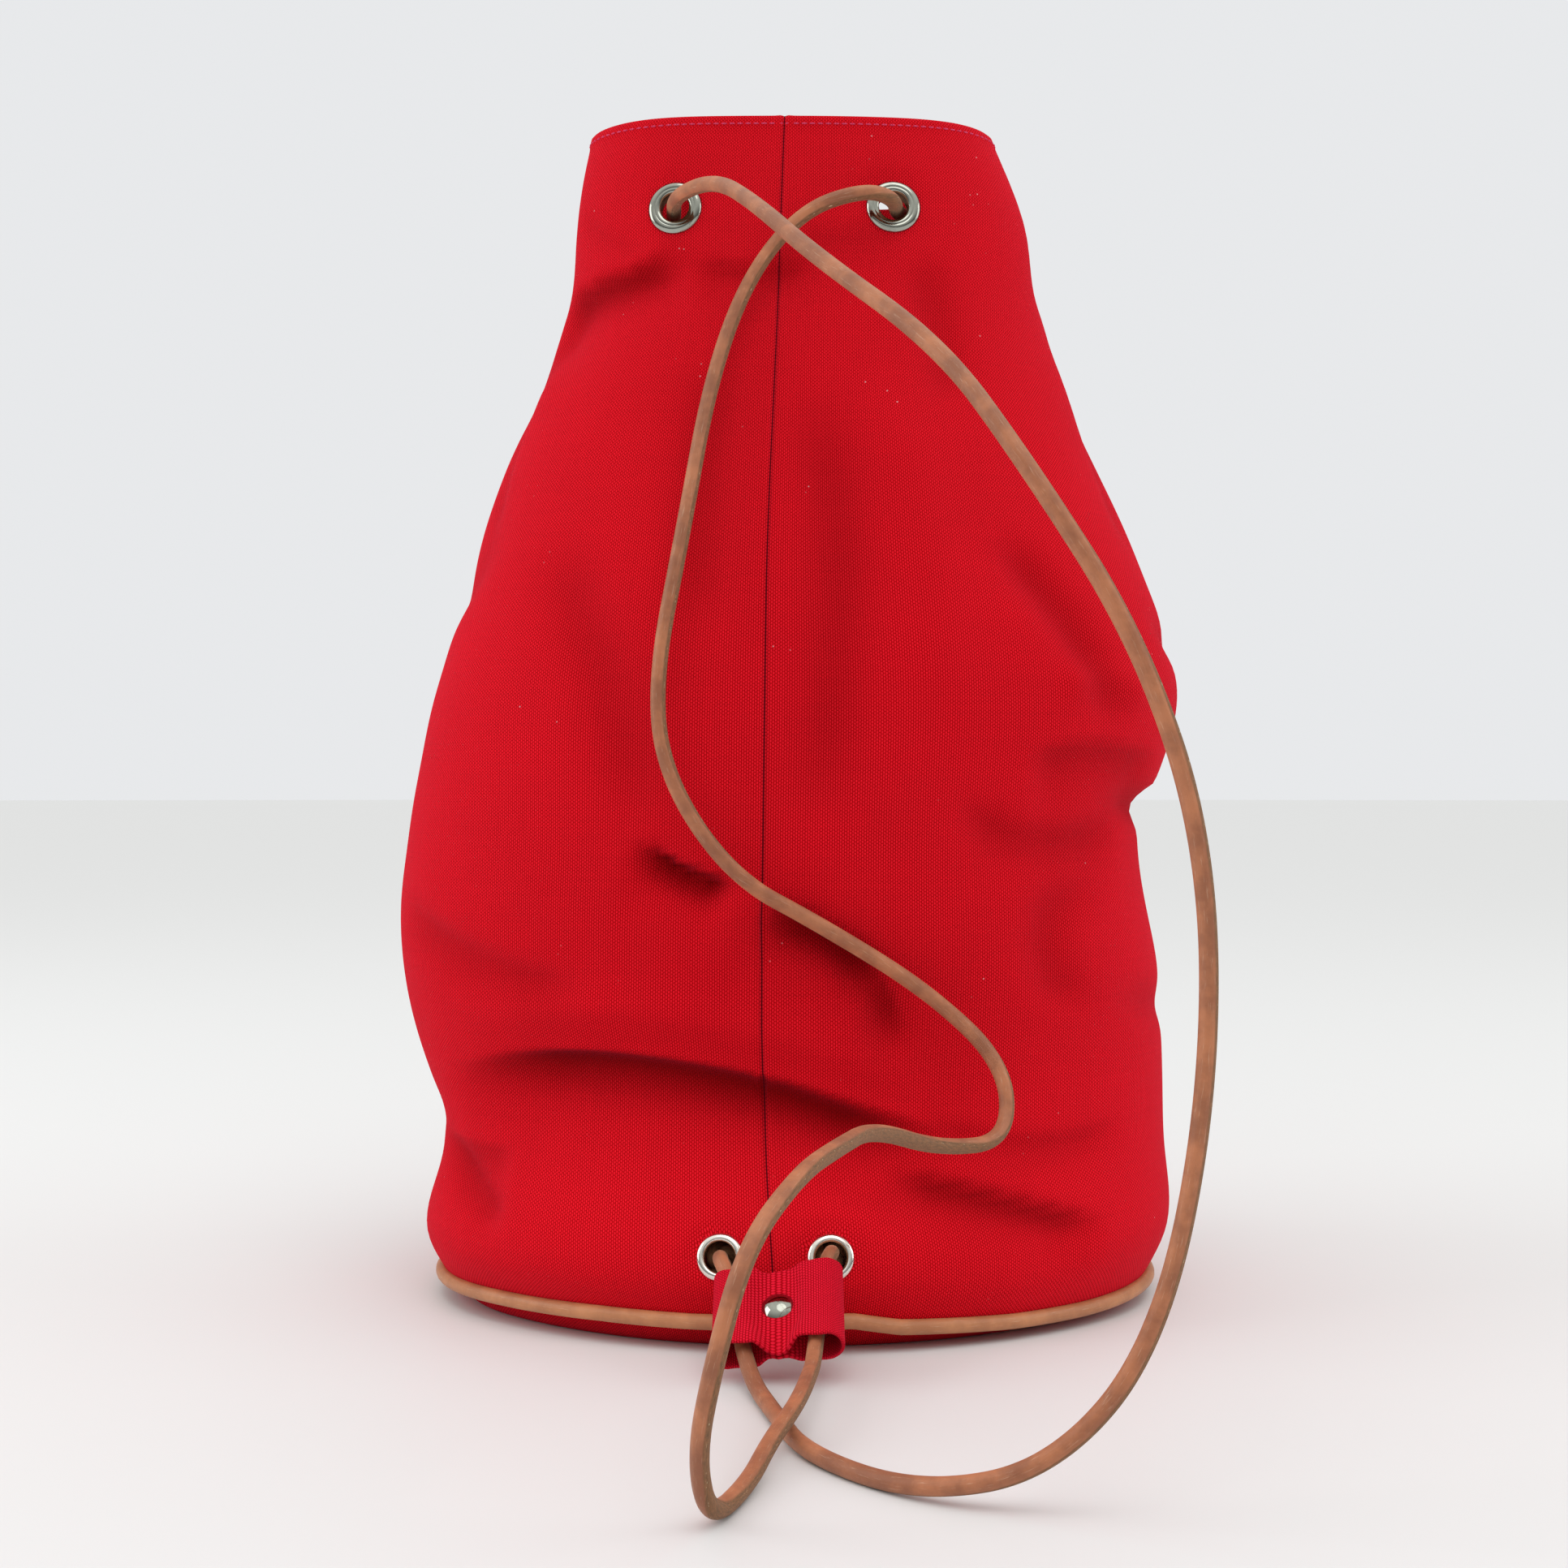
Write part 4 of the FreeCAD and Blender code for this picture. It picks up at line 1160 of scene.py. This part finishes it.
def keeper_section(share):
    """One round of the keeper's cloth, from its right edge, at a share of its length."""
    high = 4.95 + 0.35 * smoothstep(share, 0.2, 0.8)
    waist = 4.6 - 3.0 * smoothstep(share, 0.6, 1.0) - 1.5 * smoothstep(-share, -0.35, 0.0)
    turn = round_angles(KEEPER_ROUND)
    u = np.cos(turn)
    u = np.sign(u) * np.abs(u) ** 0.8 * KEEPER_HALF
    side = np.sign(np.sin(turn))
    channel = smoothstep(np.abs(u), waist, waist + KEEPER_SPREAD)
    thick = KEEPER_PINCH + (high - KEEPER_PINCH) * channel
    over = np.clip((np.abs(u) - (KEEPER_HALF - high)) / high, 0.0, 1.0)
    # the front layer gapes a little at the lower mouths
    thick += 1.5 * (side < 0) * smoothstep(share, 0.66, 1.0) * channel
    return u, thick * np.sqrt(np.maximum(1 - over**2, 0.0)) * side


grid = np.zeros((KEEPER_ROWS, KEEPER_ROUND, 3))
for r in range(KEEPER_ROWS):
    share = r / (KEEPER_ROWS - 1)
    u, w = keeper_section(share)
    # the lower edge comes to a small point at the stitched middle, and the lips wave a little
    lip = smoothstep(share, 0.75, 1.0) * 1.8 * np.exp(-((u / 3.4) ** 2))
    ends = smoothstep(share, 0.9, 1.0) - smoothstep(-share, -0.1, 0.0)
    down = share * KEEPER_LENGTH + lip + 0.25 * np.sin(u * 0.55) * ends
    ways = np.array([keeper_across, keeper_face, keeper_down])
    grid[r] = np.array(KEEPER_TOP) + np.stack([u, w, down], axis=1) @ ways * MM
run = np.linspace(0, 0.094, KEEPER_ROUND + 1)
keeper_uv = np.stack(np.meshgrid(run, np.linspace(0, 0.032, KEEPER_ROWS)), axis=-1)
keeper = outward(grid_object("keeper_cloth", grid, keeper_uv, wrap_across=True))
modify(keeper, "SOLIDIFY", thickness=0.0011, offset=-1.0)
modify(
    keeper,
    "BEVEL",
    width=0.00035,
    segments=2,
    limit_method="ANGLE",
    angle_limit=math.radians(60),
)
finish_piece(smooth(keeper, 50), "keeper", canvas_fine)
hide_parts("keeper_sleeve")

# ---------------------------------------------------------------- the metal, kept from the frame
for name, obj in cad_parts.items():
    if name.startswith("eyelet_") or name.startswith("keeper_rivet"):
        material = nickel_mouth
    elif name.startswith("strap_eyelet_"):
        material = nickel_strap
    else:
        continue
    smooth(obj, 35)
    obj.data.materials.clear()
    obj.data.materials.append(material)

# ---------------------------------------------------------------- stitches
bpy.ops.mesh.primitive_uv_sphere_add(segments=8, ring_count=6, radius=1.0)
stitch = bpy.context.object
stitch_points = np.array([v.co[:] for v in stitch.data.vertices])
stitch_faces = [tuple(p.vertices) for p in stitch.data.polygons]
bpy.data.objects.remove(stitch)


STITCH_LENGTH = 0.0021
THREAD = 0.00062


def stitching(name, places):
    """One thread mesh of stitches, each at (middle, along, outwards)."""
    vertices = []
    faces = []
    for middle, along, out in places:
        side = np.cross(along, out)
        turn = np.stack([along * STITCH_LENGTH / 2, side * THREAD / 2, out * THREAD / 2])
        start = len(vertices) * len(stitch_points)
        vertices.append(stitch_points @ turn + middle)
        faces.extend(tuple(i + start for i in f) for f in stitch_faces)
    mesh = bpy.data.meshes.new(name)
    mesh.from_pydata(np.concatenate(vertices).tolist(), [], faces)
    mesh.uv_layers.new(name="cloth")
    obj = outward(link(bpy.data.objects.new(name, mesh)))
    return finish_piece(smooth(obj), "sack", thread_pink)


def round_places(height, inset, pitch):
    """Stitch places right round the sack's canvas at one height."""
    level = np.array([height - 1.0, height, height + 1.0])
    surface = sack_surface(shares, level, inset=inset)
    way = grid_normals(surface)[1]
    closed = np.vstack([surface[1], surface[1, :1]])
    ways = np.vstack([way, way[:1]])
    lengths = run_along(closed)
    count = int(round(lengths[-1] / pitch))
    places = []
    for i in range(count):
        at = lengths[-1] * (i + 0.5) / count
        middle = read_line(closed, lengths, at)
        ahead = read_line(closed, lengths, at + 0.4)
        out = unit(read_line(ways, lengths, at))
        along = unit(ahead - middle + 1e-9)
        along = unit(along - out * np.dot(along, out))
        places.append((middle * MM, along, out))
    return places


stitching("rim_stitching", round_places(BAG_HEIGHT - 3.3, -0.22, 2.7))

# ---------------------------------------------------------------- light and floor
world = bpy.data.worlds.new("studio")
world.use_nodes = True
sky = world.node_tree
sky_way = node(sky, "ShaderNodeTexCoord")
sky_split = node(sky, "ShaderNodeSeparateXYZ")
feed(sky, sky_split.inputs[0], sky_way.outputs["Generated"])
sky_rise = ramp(sky, sky_split.outputs[2], 0.0, 0.95)
sky_light = blend_colour(sky, sky_rise, (0.14, 0.145, 0.145, 1.0), (1.12, 1.12, 1.10, 1.0))
sky_ray = node(sky, "ShaderNodeLightPath")
sky_seen = (0.805, 0.815, 0.83, 1.0)
sky_colour = blend_colour(sky, sky_ray.outputs["Is Camera Ray"], sky_light, sky_seen)
feed(sky, sky.nodes["Background"].inputs["Color"], sky_colour)
bpy.context.scene.world = world

bpy.ops.mesh.primitive_circle_add(vertices=96, radius=40.0, fill_type="NGON")
floor = bpy.context.object
floor.name = "floor"
floor_material = bpy.data.materials.new("floor_paint")
floor_material.use_nodes = True
floor_tree = floor_material.node_tree
floor_shader = floor_tree.nodes["Principled BSDF"]
floor_tone = (0.79, 0.795, 0.80, 1.0)
feed_all(floor_tree, floor_shader, Base_Color=floor_tone, Roughness=0.55, Specular_IOR_Level=0.25)
floor.data.materials.append(floor_material)


def soft_light(name, place, target, size, power):
    data = bpy.data.lights.new(name, "AREA")
    data.shape = "SQUARE"
    data.size = size
    data.energy = power
    obj = link(bpy.data.objects.new(name, data))
    obj.location = place
    way = Vector(target) - Vector(place)
    obj.rotation_euler = way.to_track_quat("-Z", "Y").to_euler()


sun_data = bpy.data.lights.new("key", "SUN")
sun_data.energy = 0.60
sun_data.angle = math.radians(42)
sun = link(bpy.data.objects.new("key", sun_data))
sun.rotation_euler = Vector((-0.12, 0.48, -1.0)).to_track_quat("-Z", "Y").to_euler()
soft_light("left_bank", (-1.9, -0.25, 0.9), (0.0, 0.0, 0.2), 1.2, 12.0)
soft_light("right_bank", (1.9, -0.25, 0.9), (0.0, 0.0, 0.2), 1.2, 7.5)
